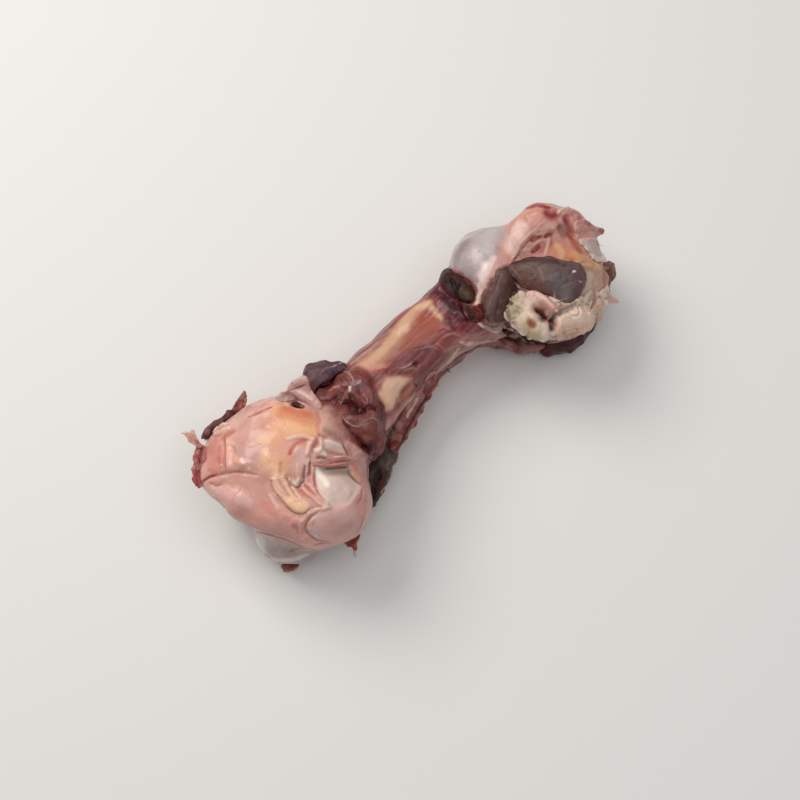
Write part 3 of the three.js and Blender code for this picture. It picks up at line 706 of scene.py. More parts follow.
# %% The shaft's ground
CREAM_BAND = "352,373 368,363 384,350 395,337 404,323 416,308 427,300"
CREAM_PATCH = "372,396 382,389 387,378 396,376 411,378 406,384 400,390 399,400 392,409 386,412 380,405"
MUSCLE = "386,366 396,349 407,334 418,320 426,316 436,328 446,340 430,360 410,374"
MAROON = "423,297 436,280 446,268 453,288 463,304 472,320 459,328 447,321 441,311 432,301"
bone.strokes([
    ("upper fascia", "#85524c", 13, 0.95, 0, "352,362 368,348 384,333 400,314 420,297"),
    ("pale fascia", "#bb867b", 5, 0.75, 0.3, "346,367 358,359 370,350 377,344"),
    ("rose streak in the fascia", "#a4616a", 1.8, 0.6, 0, "386,334 392,327 400,318"),
    ("brown round the band", "#b0694a", 16, 0.7, 0, "376,370 390,358 402,344 412,330 422,320"),
    ("cream band", "#c69a7c", 17, 1.0, 0.3, CREAM_BAND),
    ("bright bone", "#d0a486", 9, 0.8, 0.1, "368,363 384,350 395,337 404,323 416,308 427,300"),
    ("pink at the band's foot", "#cf9684", 9, 0.8, 0, "358,373 370,370 382,366"),
    ("cream head of the band", "#dcb18c", 8, 0.9, 0.2, "420,307 428,302 432,307"),
    ("cream spur", "#d6a67f", 6.6, 0.9, 0.3, "431,304 436,311 441,319"),
])
bone.patches([
    ("maroon by the neck", "#40151c", 5, 0.9, 0.2, MAROON),
    ("muscle stubble", "#96504a", 7, 0.8, -0.2, MUSCLE),
    ("cream window", "#e0b198", 3.4, 1.0, 0.3, CREAM_PATCH),
])

# %% [markdown]
# Over the ground come the torn edges of the sheaths, flecks and strands, and last, where the bone
# isn't bare, fine stubble in dark and light. It is cut in as well as painted, or it would look flat.

# %% The shaft's marks
bone.strokes([
    ("crimson outline", "#8e1c22", 9, 1.0, 0.2, "392,325 402,315 414,306 427,299"),
    ("pale ridge by the outline", "#b0807a", 2.4, 0.6, 0.3, "350,366 364,356 378,342 390,330"),
    ("violet flecks", "#7d5560", 3, 0.5, 0, "374,350 381,345"),
    ("violet flecks above", "#744856", 3, 0.6, 0, "385,331 391,326 396,323"),
    ("orange brown patch", "#a9513a", 12, 0.95, 0, "420,326 428,318 432,326"),
    ("rust below it", "#a05242", 10, 0.8, 0, "408,340 418,334 434,334"),
    ("brown edge of the band", "#a9633f", 4, 0.6, 0, "397,358 405,345 415,332 422,322"),
    ("purple fibres", "#764447", 11, 0.85, 0.2, "396,362 412,356 428,350"),
    ("lilac fibres", "#8d6065", 6, 0.6, 0.2, "426,342 434,350 430,358"),
    ("wine by the fringe", "#74323a", 6, 0.7, 0, "430,366 438,358 440,348"),
    ("rose field", "#9c5350", 10, 0.8, 0.2, "440,346 450,338 462,332"),
    ("crimson field", "#7d2d36", 7, 0.7, 0, "446,322 458,326 470,328"),
    ("wine field", "#43181f", 17, 0.9, 0.3, "440,286 447,299 454,312"),
    ("crimson side", "#8d2f3c", 4.5, 0.8, 0, "433,296 440,306 447,316"),
    ("purple dark", "#451f30", 8, 0.7, 0, "446,294 451,306"),
    ("grey dark side", "#452b2b", 8, 0.8, 0, "454,308 457,318 455,325"),
    ("blood near the hip", BLOOD, 5, 0.6, 0, "456,327 466,327 474,325"),
    ("dark wedge", "#7d333b", 4.5, 0.8, -0.4, "453,316 462,326 472,334"),
    ("red brown lip of the window", "#8f3f3a", 5, 0.85, 0.5, "362,378 374,373 384,371"),
    ("window's bright bone", "#ebc2ab", 9, 0.85, 0.2, "388,402 394,392 400,382"),
    ("yellow in the window", "#e0ad80", 7, 0.8, 0, "376,399 382,402 386,406"),
    ("orange beside the window", "#b4654e", 8, 0.9, 0, "404,398 409,390 413,384"),
    ("rust low down", "#9c5a48", 5, 0.8, 0, "393,412 396,406 397,400"),
    ("rose low down", "#a9615c", 6, 0.8, 0, "388,420 398,414 406,404"),
    ("lower fascia", "#cd968c", 11, 0.95, 0.4, "384,430 394,419 404,407 412,398"),
    ("cream edge of the fascia", "#d3aa9c", 4, 0.9, 0.4, "386,434 394,426 402,416"),
    ("white tendon's bed", "#a37c73", 5, 0.9, 0.5, "404,416 409,407 414,400 419,394"),
    ("shade by the tendon", "#6d3d3b", 2, 0.8, -0.5, "408,416 413,408 418,400"),
    ("blood beside the tendon", "#7d2c31", 3, 0.8, 0, "411,418 417,408 424,396"),
    ("purple stubble right of the window", "#7a4043", 7, 0.8, 0, "418,380 422,372 430,368"),
    ("dark specks", "#4d1d20", 2, 0.8, -0.8, "414,383 417,386"),
    ("pale torn edge", "#b58e86", 9, 0.9, 0.4, "438,372 448,362 460,352 474,346"),
    ("pale pink sheath", "#b07f7a", 9, 0.8, 0.2, "452,350 464,342 482,337"),
    ("white flecks", "#cdb0a7", 3, 0.95, 0.8, "446,362 452,356 458,348"),
    ("more white flecks", "#c9aca4", 3, 0.9, 0.7, "460,342 468,343 480,341"),
    ("white strand", "#c3a59c", 4, 0.9, 0.8, "464,346 478,342 496,340"),
    ("dark between the strands", "#643f3b", 2.4, 0.8, -0.6, "446,372 458,358 470,350"),
    ("brown film", "#7c5a50", 5, 0.7, 0.2, "452,364 462,356 472,349"),
    ("orange loop", "#c07f4e", 2.4, 0.9, 0.7, "425,380 430,376 434,372 436,376"),
    ("dark in the loop", "#6b3320", 1.4, 0.8, -0.5, "431,380 434,377"),
    # the hole is cut in, and its near-black is painted shade
    ("hole", "#2c0e0c", 3, 0.9, -1.4, "414,363.5 417,364"),
    ("light streaks", "#a87f7f", 1.8, 0.8, 0.7, "399,369 407,366 413,362"),
    ("light streaks lower", "#9f7876", 1.8, 0.8, 0.6, "403,371 412,368 418,370"),
    ("torn sheath lower", "#8e5c5a", 1.8, 0.7, 0.6, "390,372 398,368"),
    ("sheath lip", "#9b6a6c", 1.6, 0.7, 0.6, "420,350 430,347 440,350"),
    ("long sheath", "#8a5256", 1.6, 0.5, 0.6, "400,352 412,347 424,345"),
    ("upper sheath", "#a5565a", 1.8, 0.5, 0.5, "436,330 444,328 450,331"),
    ("hip sheath", "#a8777a", 1.8, 0.7, 0.6, "444,338 452,334 462,336"),
    ("wine sheath", "#835058", 1.6, 0.6, 0.6, "452,318 458,312 464,318"),
    ("pink sheath", "#b37473", 1.8, 0.6, 0.5, "438,344 446,352 444,358"),
])
bare = np.maximum(bone.stroke(CREAM_BAND, 15), bone.patch(CREAM_PATCH, 3))
fleshy = on_shaft * (1 - 0.9 * bare)
bone.tint(fleshy * fade(stubble, 0.45, 0.05), "#6a2f2e", 0.28)
bone.tint(fleshy * fade(stubble, -0.5, -0.1), "#c79a8e", 0.18)
bone.tint(fleshy * fade(specks, 0.6, 0.3), "#5d2a2c", 0.3)
bone.height += fleshy * (0.14 * stubble + 0.08 * specks)

# %% [markdown]
# At the hip end the ball keeps its bluish white gristle, which runs down as a wet tongue. Beside it
# the pink crest curls round, cut open and folded, with blood in its folds and amber at its far rim.

# %% The hip end's ground
BALL_MIDDLE = (59.6, 20.1, 34)
BALL_RADIUS = 19.5
BALL = (
    "447,254 455,239 470,228 486,222 504,219 506,228 501,238 497,246 493,254 484,262 478,270 474,282 "
    "468,276 459,268 452,263"
)
TONGUE = "494,256 501,258 494,270 488,282 483,294 480,303 474,306 476,299 476,290 473,281 480,268"
CREST_FACE = "510,221 522,210 536,205 546,210 541,221 528,232 519,243 511,256"
NECK_HOLLOW = "460,301 472,306 480,303 486,305 485,317 477,323 466,318"
CAP_GAP = "506,274 511,277 518,288 526,291 520,295 510,292"
ball_side = fade(np.linalg.norm(bone.points - BALL_MIDDLE, axis=1), BALL_RADIUS, BALL_RADIUS + 2)
away_from_cap = 1 - fade(bone.points[:, 1], 14, 22)
low_hip = at_hip * fade(bone.points[:, 2], 6, 22)
bone.tint(at_hip, "#bb887b", 0.95)
bone.mottle("#cfa497", 8, 0.5, seed=41, cover=0.5, where=at_hip)
bone.mottle(SKIN_ROSE, 6, 0.4, seed=42, cover=0.35, where=at_hip)
bone.tint(low_hip, "#804a42", 0.6)
bone.mottle(SKIN_GREY, 9, 0.5, seed=43, cover=0.5, where=low_hip)
bone.tint(ball_side * away_from_cap, "#b3a3a0", 0.9)
bone.strokes([
    ("inner skin", "#b07b6d", 16, 0.8, 0, "524,250 542,241 560,240"),
    ("inner rose", "#a2625a", 6, 0.6, 0, "536,248 548,244"),
    ("pale inner strip", "#bb8d7e", 5, 0.8, 0.4, "536,234 546,229 556,226"),
    ("warm strip under it", "#b38678", 4, 0.7, 0.3, "526,247 536,240 546,234"),
    ("orange tan rim", "#c38460", 15, 0.95, 0, "554,248 566,255 580,260"),
    ("orange rim's far end", "#cf9a74", 13, 0.95, 0.8, "578,256 590,263 599,270"),
    ("cream rim", "#c6a38f", 12, 0.95, 0.0, "592,272 597,282 598,296"),
    ("notch drawn in", None, 9, 1, -3.0, "600,240 602,248"),
    ("gristle by the orange rim", "#bba89f", 12, 0.95, 0, "587,243 593,246 598,251 603,260"),
    ("far side drawn in", None, 15, 1, -4.2, "603,236 607,249 609,262 609,274 608,288"),
    ("cream strand by the cap", "#c2b3a1", 8, 0.95, 0.6, "590,276 587,290 582,304"),
    ("skin beside the ball", "#d09c90", 7, 0.85, 0, "504,262 503,250 507,238"),
])
bone.creases(6, 0.2, 44, "#9a6a60", amount=0.3, width=0.06, where=at_hip * (1 - ball_side))
bone.patches([
    # the hollow is sunk in, and its colour is dark meat deepened with painted shade
    ("dark meat and painted shade below the ball", "#35100f", 3.5, 0.97, -1.6, NECK_HOLLOW),
    # painted shade in the gap between the cap and the fat
    ("painted shade in the gap between cap and fat", "#1c0e0b", 1.5, 0.97, -0.6, CAP_GAP),
    ("ball", "#b3a3a0", 3, 1.0, 0.1, BALL),
    ("tongue", "#e2c8c1", 3, 0.9, 0.2, TONGUE),
    ("crest's face", "#cb9486", 2, 0.95, 0.3, CREST_FACE),
])

# %% [markdown]
# The ball gets its shades and a thin light rim, the tongue and the crest's fold painted highlights,
# and the crest its ridge, folds and blood. Folds are cut deep here, up to a millimetre, because the
# crest's skin is thick and was sliced open.

# %% The hip end's marks
CREST_RIDGE = "511,261 516,254 521,244 529,235 537,228 545,221"
bone.strokes([
    ("blue shade on the ball", "#807276", 12, 0.7, -0.2, "457,262 459,252 465,244"),
    ("lilac edge of the ball", "#a5969a", 4, 0.6, 0, "458,242 472,231 484,226"),
    ("light middle of the ball", "#c2b7b5", 16, 0.75, 0.2, "479,254 486,243 497,232"),
    ("warm right of the ball", "#c9aa9f", 7, 0.6, 0, "500,244 503,234 506,224"),
    ("grey foot of the ball", "#a99c9f", 8, 0.6, 0, "462,266 470,272 477,280"),
    ("thin rim of the ball", "#c9bab6", 1.6, 0.7, 0.2, "452,250 460,239 472,230 486,225"),
    # a painted highlight running down the wet tongue
    ("painted highlight on the tongue", "#f0e0da", 5, 0.6, 0.2, "488,264 483,276 479,288"),
    ("rose on the tongue", "#c59089", 3.2, 0.7, 0, "499,257 494,268 489,280"),
    ("cream point of the tongue", "#d2a78a", 3, 0.8, 0.2, "481,296 479,302 474,306"),
    ("amber rim of the tongue", "#a9663a", 1.6, 0.9, 0.3, "473,284 476.5,292 476.5,300 472,306"),
    ("rose blur on the ball", "#b98580", 3, 0.6, 0, "497,248 498,249"),
    ("dark speck", "#6c5352", 1, 0.6, 0, "479,252 479,252.6"),
    # a broad painted highlight on the crest's fold
    ("painted highlight on the crest's fold", "#f0cfc5", 13, 0.8, 0.6, "521,226 516,237 512,248"),
    ("warm crest", "#cf9079", 6, 0.8, 0.3, "524,218 533,213 543,213"),
    ("crest's left edge", "#c48f82", 2.4, 0.7, 0.3, "508,236 510,228 516,219"),
    ("crest ridge", "#d7a89b", 1.8, 0.6, 0.5, CREST_RIDGE),
    ("brown behind the ridge", "#8a574b", 1.5, 0.9, -0.6, "513,262 519,254 529,241 540,231"),
    ("blood stripe on top", "#93292c", 5.4, 1.0, 0, "526,209 537,206 548,207"),
    ("blood beside it", "#8f2f2f", 7.5, 0.95, -0.3, "547,212 551,216 556,214"),
    ("thin edge", "#d0978b", 1.6, 0.8, 0.4, "520,211 534,204 548,204 560,206"),
    ("rose middle", "#b0706a", 5, 0.7, 0.2, "556,222 560,226"),
    ("light knob", "#c99c8f", 3, 0.8, 0.6, "554,228 557,231"),
    ("small fold", "#8a3430", 2.6, 0.9, -1.2, "532,241 537,238 541,237"),
    ("next fold", "#8b3a33", 2.4, 0.85, -1.0, "545,237 549,235 552,235"),
    ("blood spot", "#7d2427", 3.2, 0.9, -1.0, "533,251 537,248 539,246"),
    ("lip under the folds", "#c49385", 2.4, 0.8, 0.7, "534,245 542,241 550,239"),
    ("rose below the lip", "#a5605c", 4, 0.8, 0, "540,252 546,246 552,243"),
    ("pale upright fold", "#cda797", 2.6, 0.8, 0.7, "549,240 547,248 545,255"),
    ("light left of the cap", "#c59c92", 3, 0.7, 0.3, "513,258 520,251 530,249"),
    ("wine brown spot", "#7a463e", 7.5, 0.85, -0.6, "561,228 564,234"),
    ("blood groove", "#832a2c", 7, 0.97, -0.9, "566,217 569,226 572,236"),
    ("rust below the groove", "#a2513f", 6.5, 0.85, -0.4, "572,234 575,243 580,252"),
    ("cream bit", "#d3bda8", 3, 0.95, 1.4, "559,213 563,210 568,209"),
    ("pink knob", "#b2766f", 5.6, 0.95, 1.6, "567,214 573,213 579,216"),
    ("amber stain", "#b06c4f", 4, 0.8, 0, "571,260 577,264"),
    ("light in the orange", "#d3a483", 5, 0.7, 0.2, "556,244 561,252 561,257"),
    ("bright spot", "#e6c3a3", 1.8, 0.9, 0.3, "576,262 578,263"),
    ("roll of the rim", "#c9977a", 3.6, 0.8, 1.0, "582,266 590,268 598,271"),
    ("blood in the hollow", "#702326", 5, 0.9, 1.6, "478,308 481,312 480,317"),
    # painted shade in the gap under the fat
    ("painted shade under the fat", "#1d0e0b", 9, 0.97, -1.2, "503,332 512,337 524,341 540,343 554,342"),
    ("light on the rim", "#d2a88d", 2.4, 0.8, 0.5, "590,260 597,266 602,270"),
])
bone.shape()

# %% [markdown]
# Where meat still clings, the bone beside it is stained and its film puckers up towards the meat.
# The distance from each point of the bone to the nearest scrap says how much.

# %% Stains round the scraps
CLINGING = ["collar_meat", "shoulder_meat", "side_meat", "far_meat", "neck_meat", "strap_meat", "under_meat"]


def distance_to(nodes, points, limit):
    """How far points are from CAD nodes, in millimetres, up to a limit."""
    trees = []
    for node in nodes:
        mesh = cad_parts[node].data
        corners = [v.co for v in mesh.vertices]
        trees.append(BVHTree.FromPolygons(corners, [p.vertices for p in mesh.polygons]))
    away = np.full(len(points), float(limit))
    for i, point in enumerate(points):
        place = Vector(point * MM)
        for tree in trees:
            found = tree.find_nearest(place, limit * MM)
            if found[0] is not None:
                away[i] = min(away[i], found[3] / MM)
    return away


near_meat = distance_to(CLINGING, bone.points, limit=5.0)
stain_edge = near_meat + 0.9 * rough(bone.points, 3, seed=51)
blotches = fade(rough(bone.points, 5, seed=52), 0.3, -0.3)
bone.tint(fade(stain_edge, 0.4, 2.4), MEAT_WINE, 0.75)
bone.tint(fade(stain_edge, 1.0, 4.0) * blotches, BLOOD, 0.35)
bone.height += fade(near_meat, 0.2, 2.4) * 0.5
bone.height += 0.06 * rough(bone.points, 1.8, seed=53)
bone.finish(dull=fade(near_meat, 1, 4) * 0.4 + on_shaft * 0.3)
print("the bone's box:", np.round(bone.points.min(0), 1), np.round(bone.points.max(0), 1))

# %% [markdown]
# The scraps of dark meat are made in the same way. Muscle shows as lobes with creases between them,
# long fibres, and here and there a white film that catches the light, with painted highlights on wet
# lobes. The folded collar round the neck of the knee end has a deep hole in it, darkened with painted
# shade, and thin white curves where its film was cut.

# %% Scraps of meat


def scrap(node, name, colour, cell=0.5, rounding=8, swell=0.5):
    """The skin of a piece that stands for a CAD node."""
    return Surface(remeshed(new_piece(name, merged_copy(node)), cell, rounding), colour, swell)


def meaty(surface, grain, long, thin, seed, dark, light, ripple=0.3, lumps=0.5):
    """Fibres along `grain` in a darker and a lighter tone, with a rippled surface."""
    strands = grained(surface.points, grain, long, thin, seed)
    lobes = rough(surface.points, 6, seed + 5)
    surface.tint(fade(strands, 0.35, -0.15), dark, 0.5)
    surface.tint(fade(strands, -0.5, 0.0), light, 0.35)
    surface.tint(fade(lobes, 0.3, -0.2), dark, 0.35)
    surface.height += ripple * strands + lumps * lobes


print("points of the bone beside meat:", int((near_meat < 2.4).sum()))

# %% The collar
collar = scrap("collar_meat", "collar_meat_folds", "#773934", swell=0.2)
meaty(collar, (0.5, 1, 0), 9, 1.6, 101, "#572725", "#8b4f49", ripple=0.08, lumps=0.25)
collar.creases(14, 0.3, 104, "#471a1b", amount=0.5, width=0.07)
collar.strokes([
    ("upper red", "#86382f", 14, 0.85, 0.3, "356,378 368,374 382,374"),
    ("red at the band's foot", "#85403a", 5, 0.8, 0, "362,372 374,372 384,370"),
    ("lilac lobe", "#7a5052", 10, 0.9, 0.8, "354,388 360,384 366,392"),
    ("lilac lobe's light", "#a38181", 4, 0.8, 0.3, "354,384 359,384"),
    ("grey rose flank", "#7e4a4a", 8, 0.8, 0.4, "366,384 372,394 374,404"),
    ("lower lobe", "#7a4541", 26, 0.95, 0.8, "346,422 358,426 370,422"),
    ("lower lobe's light", "#925f5a", 11, 0.7, 0.5, "352,424 362,424 370,416"),
    ("left fold", "#824743", 8, 0.85, 0.5, "331,396 336,389 344,385"),
    ("left fold's shine", "#ab7871", 2.6, 0.8, 0.3, "331,391 335,388 339,387"),
    ("fold by the knee", "#7f4642", 8, 0.85, 0.5, "328,414 333,406 340,402"),
    ("second fold by the knee", "#7b4542", 8, 0.8, 0.5, "330,428 334,418 338,412"),
    # painted shade in the creases between the folds, this line and the next
    ("painted shade between the folds", "#512324", 2.2, 0.8, -0.7, "324,406 331,401 338,396"),
    ("second dark line", "#552728", 2.2, 0.7, -0.6, "326,422 332,414 337,408"),
    # the hole and its clefts are cut in, and their near-black is painted shade
    ("deep hole", "#34090a", 12, 0.97, -2.6, "344,404 352,408 362,412"),
    ("painted shade at the bottom of the hole", "#24090a", 5, 0.9, -0.6, "347,405 354,409"),
    ("cleft up from the hole", "#451516", 4, 0.95, -1.0, "349,402 346,395 346,390"),
    ("cleft to the right", "#4d191b", 3.5, 0.85, -1.4, "362,410 369,407 376,409"),
    ("ridge over the hole", "#8d5551", 3.4, 0.85, 0.7, "339,407 343,400 347,390"),
    ("ridge under the hole", "#7d4a46", 4.4, 0.8, 0.8, "344,415 353,419 364,417 374,415"),
    ("cut film", "#b18a83", 1.4, 0.85, 0.6, "339,408 341,415 347,421 354,426 360,427"),
    ("cut film at the right", "#a67e78", 1.2, 0.75, 0.6, "366,420 373,419 378,423 378,433"),
    ("film line above", "#a4807a", 1.4, 0.8, 0.6, "343,371 349,374 353,380 352,386"),
    # painted highlights on the wet lobe, this dab and the next
    ("painted highlight dab", "#dcc9c5", 2, 0.95, 0.6, "350,388 349.5,391"),
    ("small painted highlight", "#ae9694", 1.6, 0.8, 0.4, "357,385 360,382"),
    ("fibre", "#8f6c6b", 1.1, 0.7, 0.4, "363,394 367,399 368,404"),
    ("fibre beside it", "#876464", 1.1, 0.6, 0.4, "368,391 371,397 371,403"),
    ("lower edge drawn in", None, 14, 1, -3.0, "350,452 360,459 370,460"),
    ("dark lower edge", "#33120f", 8, 0.95, -0.4, "350,443 361,448 373,446"),
    ("dark left of the lobe", "#4e2625", 4, 0.7, -0.4, "336,426 343,436 351,443"),
    ("wine right side", "#5a2a2c", 6, 0.7, 0, "378,400 382,410 380,420"),
])
collar.finish()

# %% The shoulder lobe
shoulder = scrap("shoulder_meat", "shoulder_meat_lobe", "#5c3e41", swell=-0.9)
meaty(shoulder, (1, 0.3, 0), 14, 2.4, 111, "#45292c", "#6e4d50", ripple=0.12, lumps=0.3)
shoulder.creases(12, 0.4, 114, "#391c1e", amount=0.5, width=0.1)
shoulder.strokes([
    ("plum sheen", "#604850", 10, 0.8, 0.2, "322,378 332,371 341,367"),
    ("sheen's light", "#846871", 3.4, 0.7, 0.2, "320,374 328,368 336,365"),
    ("red edge", "#612b2d", 5, 0.8, 0, "312,382 316,392 323,401"),
    ("dark band", "#341d20", 5, 0.85, -0.8, "318,390 331,384 345,377"),
    ("lower lip", "#5a3536", 5, 0.7, 0.7, "319,398 328,393 338,388"),
    # the dark foot is painted shade in the gap beside the tendon flap
    ("dark foot", "#28100f", 4, 0.85, -0.8, "322,405 330,401 337,397"),
    ("fleck", "#b9a7a2", 1.4, 0.9, 0.5, "334,366 337,364"),
    ("fleck at the edge", "#b9a7a2", 1.2, 0.9, 0.5, "340,363 343,362"),
    ("thin rim", "#8e706c", 1.2, 0.8, 0.5, "344,365 348,370 352,376"),
])
shoulder.finish()

# %% [markdown]
# The meat round the ends has dried in the air to brown and grey. It is wrinkled lengthwise, with a
# whitish film in patches. The strap hangs beside the ball's tongue and the cap lies in the crest.

# %% The strap
DRIED = 0.5  # how dull dried meat is
strap = scrap("strap_meat", "strap_meat_rolls", "#5c3f39", swell=0.7)
meaty(strap, (-0.25, -1, -0.3), 9, 1.3, 121, "#45302c", "#70524b", ripple=0.14, lumps=0.3)
strap.strokes([
    ("grey rose back", "#674a45", 12, 0.8, 0.8, "504,268 498,284 492,300 488,314"),
    ("foot let down", None, 11, 1, 2.4, "486,318 492,322 498,320"),
    ("lit edge", "#7c5d56", 2.6, 0.7, 0.3, "499,268 492,281 486,295 482,309"),
    ("dark head", "#4c2b29", 6, 0.8, -0.3, "501,263 507,262 509,270"),
    ("lilac middle", "#6b5152", 6, 0.7, 0.3, "498,290 494,304 494,314"),
    ("brown low side", "#53352f", 4, 0.6, 0, "506,292 503,304 500,316"),
    ("wrinkle", "#7c625c", 1.2, 0.6, 0.4, "504,274 499,284 497,294"),
    ("second wrinkle", "#432c2a", 1.2, 0.7, -0.4, "501,276 496,288 492,298"),
    ("third wrinkle", "#7a605c", 1.2, 0.6, 0.4, "493,296 490,306 492,316"),
    ("fourth wrinkle", "#46302e", 1.2, 0.7, -0.4, "499,298 497,308 494,318"),
    ("small swirl", "#7b625e", 1.2, 0.6, 0.3, "497,310 501,314 498,319 492,320"),
    ("pale foot", "#81655e", 2, 0.7, 0.4, "484,318 490,323 498,323"),
])
strap.finish(DRIED)

# %% The cap
cap = scrap("cap_meat", "cap_meat_film", "#654d47")
meaty(cap, (0.8, -0.6, 0), 8, 2.0, 131, "#533d38", "#7d645d", ripple=0.1, lumps=0.4)
cap.creases(11, 0.35, 134, "#3a2725", amount=0.5, width=0.1)
cap.mottle("#7f6f6e", 7, 0.45, seed=137, cover=0.4)
cap.strokes([
    ("brown left", "#6a4842", 16, 0.85, 0, "518,270 528,282 540,290"),
    ("rose brown middle", "#7d5b52", 10, 0.5, 0, "524,276 536,282 546,290"),
    ("grey right", "#675553", 20, 0.9, 0.4, "554,270 564,280 566,294"),
    ("blue grey middle", "#6f6665", 11, 0.8, 0.2, "552,280 560,288 566,298"),
    ("dark top", "#3c2421", 4, 0.9, -0.2, "513,264 522,260 535,256 550,258"),
    ("brown top", "#4a312e", 6, 0.8, 0, "520,262 535,260 552,262 564,266"),
    ("purple right", "#65444a", 8, 0.85, 0, "572,270 580,276 580,286 576,296"),
    ("cloudy film", "#705a52", 6, 0.6, 0.2, "520,270 528,268 534,272"),
    ("white vein", "#7f6c67", 2.4, 0.8, 0.4, "540,268 542,275 544,282"),
    ("second vein", "#7a645e", 1.6, 0.7, 0.4, "512,268 517,274 522,280"),
    ("swirl", "#7b655e", 1.6, 0.7, 0.4, "522,266 532,270 536,276 530,280"),
    ("swirl's foot", "#6e5750", 1.6, 0.6, 0.3, "518,284 526,286 532,282"),
    ("ring in the grey", "#76696a", 1.6, 0.7, 0.4, "548,278 554,282 556,290 552,296"),
    ("lower vein", "#9b8d87", 1.8, 0.9, 0.5, "555,293 555,300 557,308"),
    ("branch of the vein", "#857470", 1.4, 0.8, 0.4, "556,304 562,300 568,298"),
    # painted shade in the fold at the cap's left edge
    ("painted shade in the fold at the left", "#2a1614", 3, 0.9, -1.2, "510.5,276 514,284 517,290"),
    ("film edge", "#7c645d", 1.6, 0.7, 0.5, "535,290 544,295 552,300"),
    ("dark foot", "#3f2624", 2.4, 0.8, -0.6, "536,293 546,298 556,308"),
    ("shine", "#f0e6e0", 1.5, 0.95, 0.3, "573,272 574.5,272"),
    ("pink shine", "#c08d88", 1.6, 0.9, 0.3, "579,281.5 581,282"),
])
cap.finish(DRIED)

# %% The meat at the ball's neck
neck = scrap("neck_meat", "neck_meat_lobes", "#3a2120")
meaty(neck, (1, 0.2, 0), 9, 1.8, 141, "#2b1514", "#4c2f2b", ripple=0.2)
neck.strokes([
    ("wine side", "#45202a", 9, 0.85, 0, "438,284 446,294 454,306"),
    ("brown top", "#3f2522", 10, 0.85, 0.3, "446,270 456,276 464,284"),
    ("crimson upper edge", "#5b262e", 3, 0.8, 0, "450,254 446,264 440,272"),
    ("round lobe", "#4c372b", 10, 0.95, 1.4, "464,292 468,298"),
    ("grey of the lobe", "#5a4538", 5, 0.8, 0.4, "467,296 469,301"),
    # painted shade in the crease round the lobe's edge
    ("painted shade round the lobe", "#23100e", 2.8, 0.95, -1.3, "460,284 457,292 459,302 466,308"),
    ("rust lip", "#8e5230", 1.6, 0.85, 0.4, "470,283 475,290 476.5,298 473,305"),
    # the gap's near-black is painted shade
    ("dark gap", "#200d0b", 3.4, 0.9, -1.0, "452,281 456,289"),
    ("red dots", "#7c3a3a", 1.6, 0.8, 0.2, "464,280 468,283 469,286"),
    # painted shade in the hollow below the lobe
    ("painted shade in the hollow below", "#2b110f", 5, 0.9, -1.4, "462,306 468,312 474,316"),
    ("red blob", "#562023", 4, 0.9, 0.5, "477,310 480,314"),
])
neck.finish(DRIED)

# %% The side meat, and the meat behind and under
side = scrap("side_meat", "side_meat_strips", "#56463e")
meaty(side, (0.5, -1, -0.4), 12, 1.5, 151, "#3d2f2a", "#6e5d54", ripple=0.3, lumps=0.3)
side.creases(8, 0.5, 154, "#2c1b18", amount=0.6, width=0.1)
side.strokes([
    ("grey green back", "#5f5048", 14, 0.9, 0.3, "388,436 392,452 386,468"),
    ("light film on it", "#7c6b62", 3, 0.8, 0.4, "392,432 397,446 396,460"),
    ("grey film lower", "#6f5e55", 3, 0.7, 0.4, "384,446 388,458 386,470"),
    ("outer side drawn in", None, 12, 1, -3.0, "383,502 392,487 399,470"),
    # the hollow is cut in, and its near-black is painted shade
    ("dark hollow", "#260f0c", 9, 0.97, -2.0, "372,496 376,484 380,472"),
    ("red brown by the hollow", "#4a211b", 4, 0.8, -0.4, "378,494 383,482 386,472"),
])
side.finish(DRIED)

far = scrap("far_meat", "far_meat_edge", "#693a37", swell=-1.5)
meaty(far, (1, 0.2, 0), 10, 1.6, 161, "#4c2827", "#8c5a52", ripple=0.2, lumps=0.3)
far.finish(DRIED)

under = scrap("under_meat", "under_meat_shreds", "#54292a")
meaty(under, (1, -0.4, 0), 10, 1.5, 171, "#3a1718", "#703a38", ripple=0.3)
under.finish(DRIED)

# %% [markdown]
# Nodes are added by one small function, for Geometry Nodes and for materials alike. A tree for
# geometry gets named inputs, so that its sizes can be changed on the modifier.

# %% Helpers for nodes


def add(tree, kind, inputs=None, **settings):
    """Adds a node. Inputs are values, or sockets to link, by name or number."""
    node = tree.nodes.new(kind)
    for name, value in settings.items():
        setattr(node, name, value)
    for name, value in (inputs or {}).items():
        if isinstance(value, bpy.types.NodeSocket):
            tree.links.new(value, node.inputs[name])
        else:
            node.inputs[name].default_value = value
    return node


def geometry_tree(name, rows):
    """A Geometry Nodes tree and its input sockets, from rows of label, kind and value."""
    tree = bpy.data.node_groups.new(name, "GeometryNodeTree")
    tree.interface.new_socket("Geometry", in_out="INPUT", socket_type="NodeSocketGeometry")
    tree.interface.new_socket("Geometry", in_out="OUTPUT", socket_type="NodeSocketGeometry")
    for label, kind, value in rows:
        tree.interface.new_socket(label, in_out="INPUT", socket_type=kind).default_value = value
    return tree, add(tree, "NodeGroupInput").outputs


def run_tree(piece, tree, values):
    """Puts a tree on a piece, sets its named inputs, and turns the result into a mesh."""
    modifier = piece.modifiers.new(tree.name, "NODES")
    modifier.node_group = tree
    for item in tree.interface.items_tree:
        if item.in_out == "INPUT" and item.name in values:
            modifier[item.identifier] = values[item.name]
    return applied(piece)


# %% [markdown]
# The surfaces are all wet tissue, but each kind shines in its own way. Light goes a little way into
# gristle and fat before it comes out again, which is what keeps them from looking like plastic, so
# each has subsurface scattering. A thin clear coat stands for the moisture. The strokes' colours
# come in by an attribute, and finer patterns, too small for the mesh, are added on top.

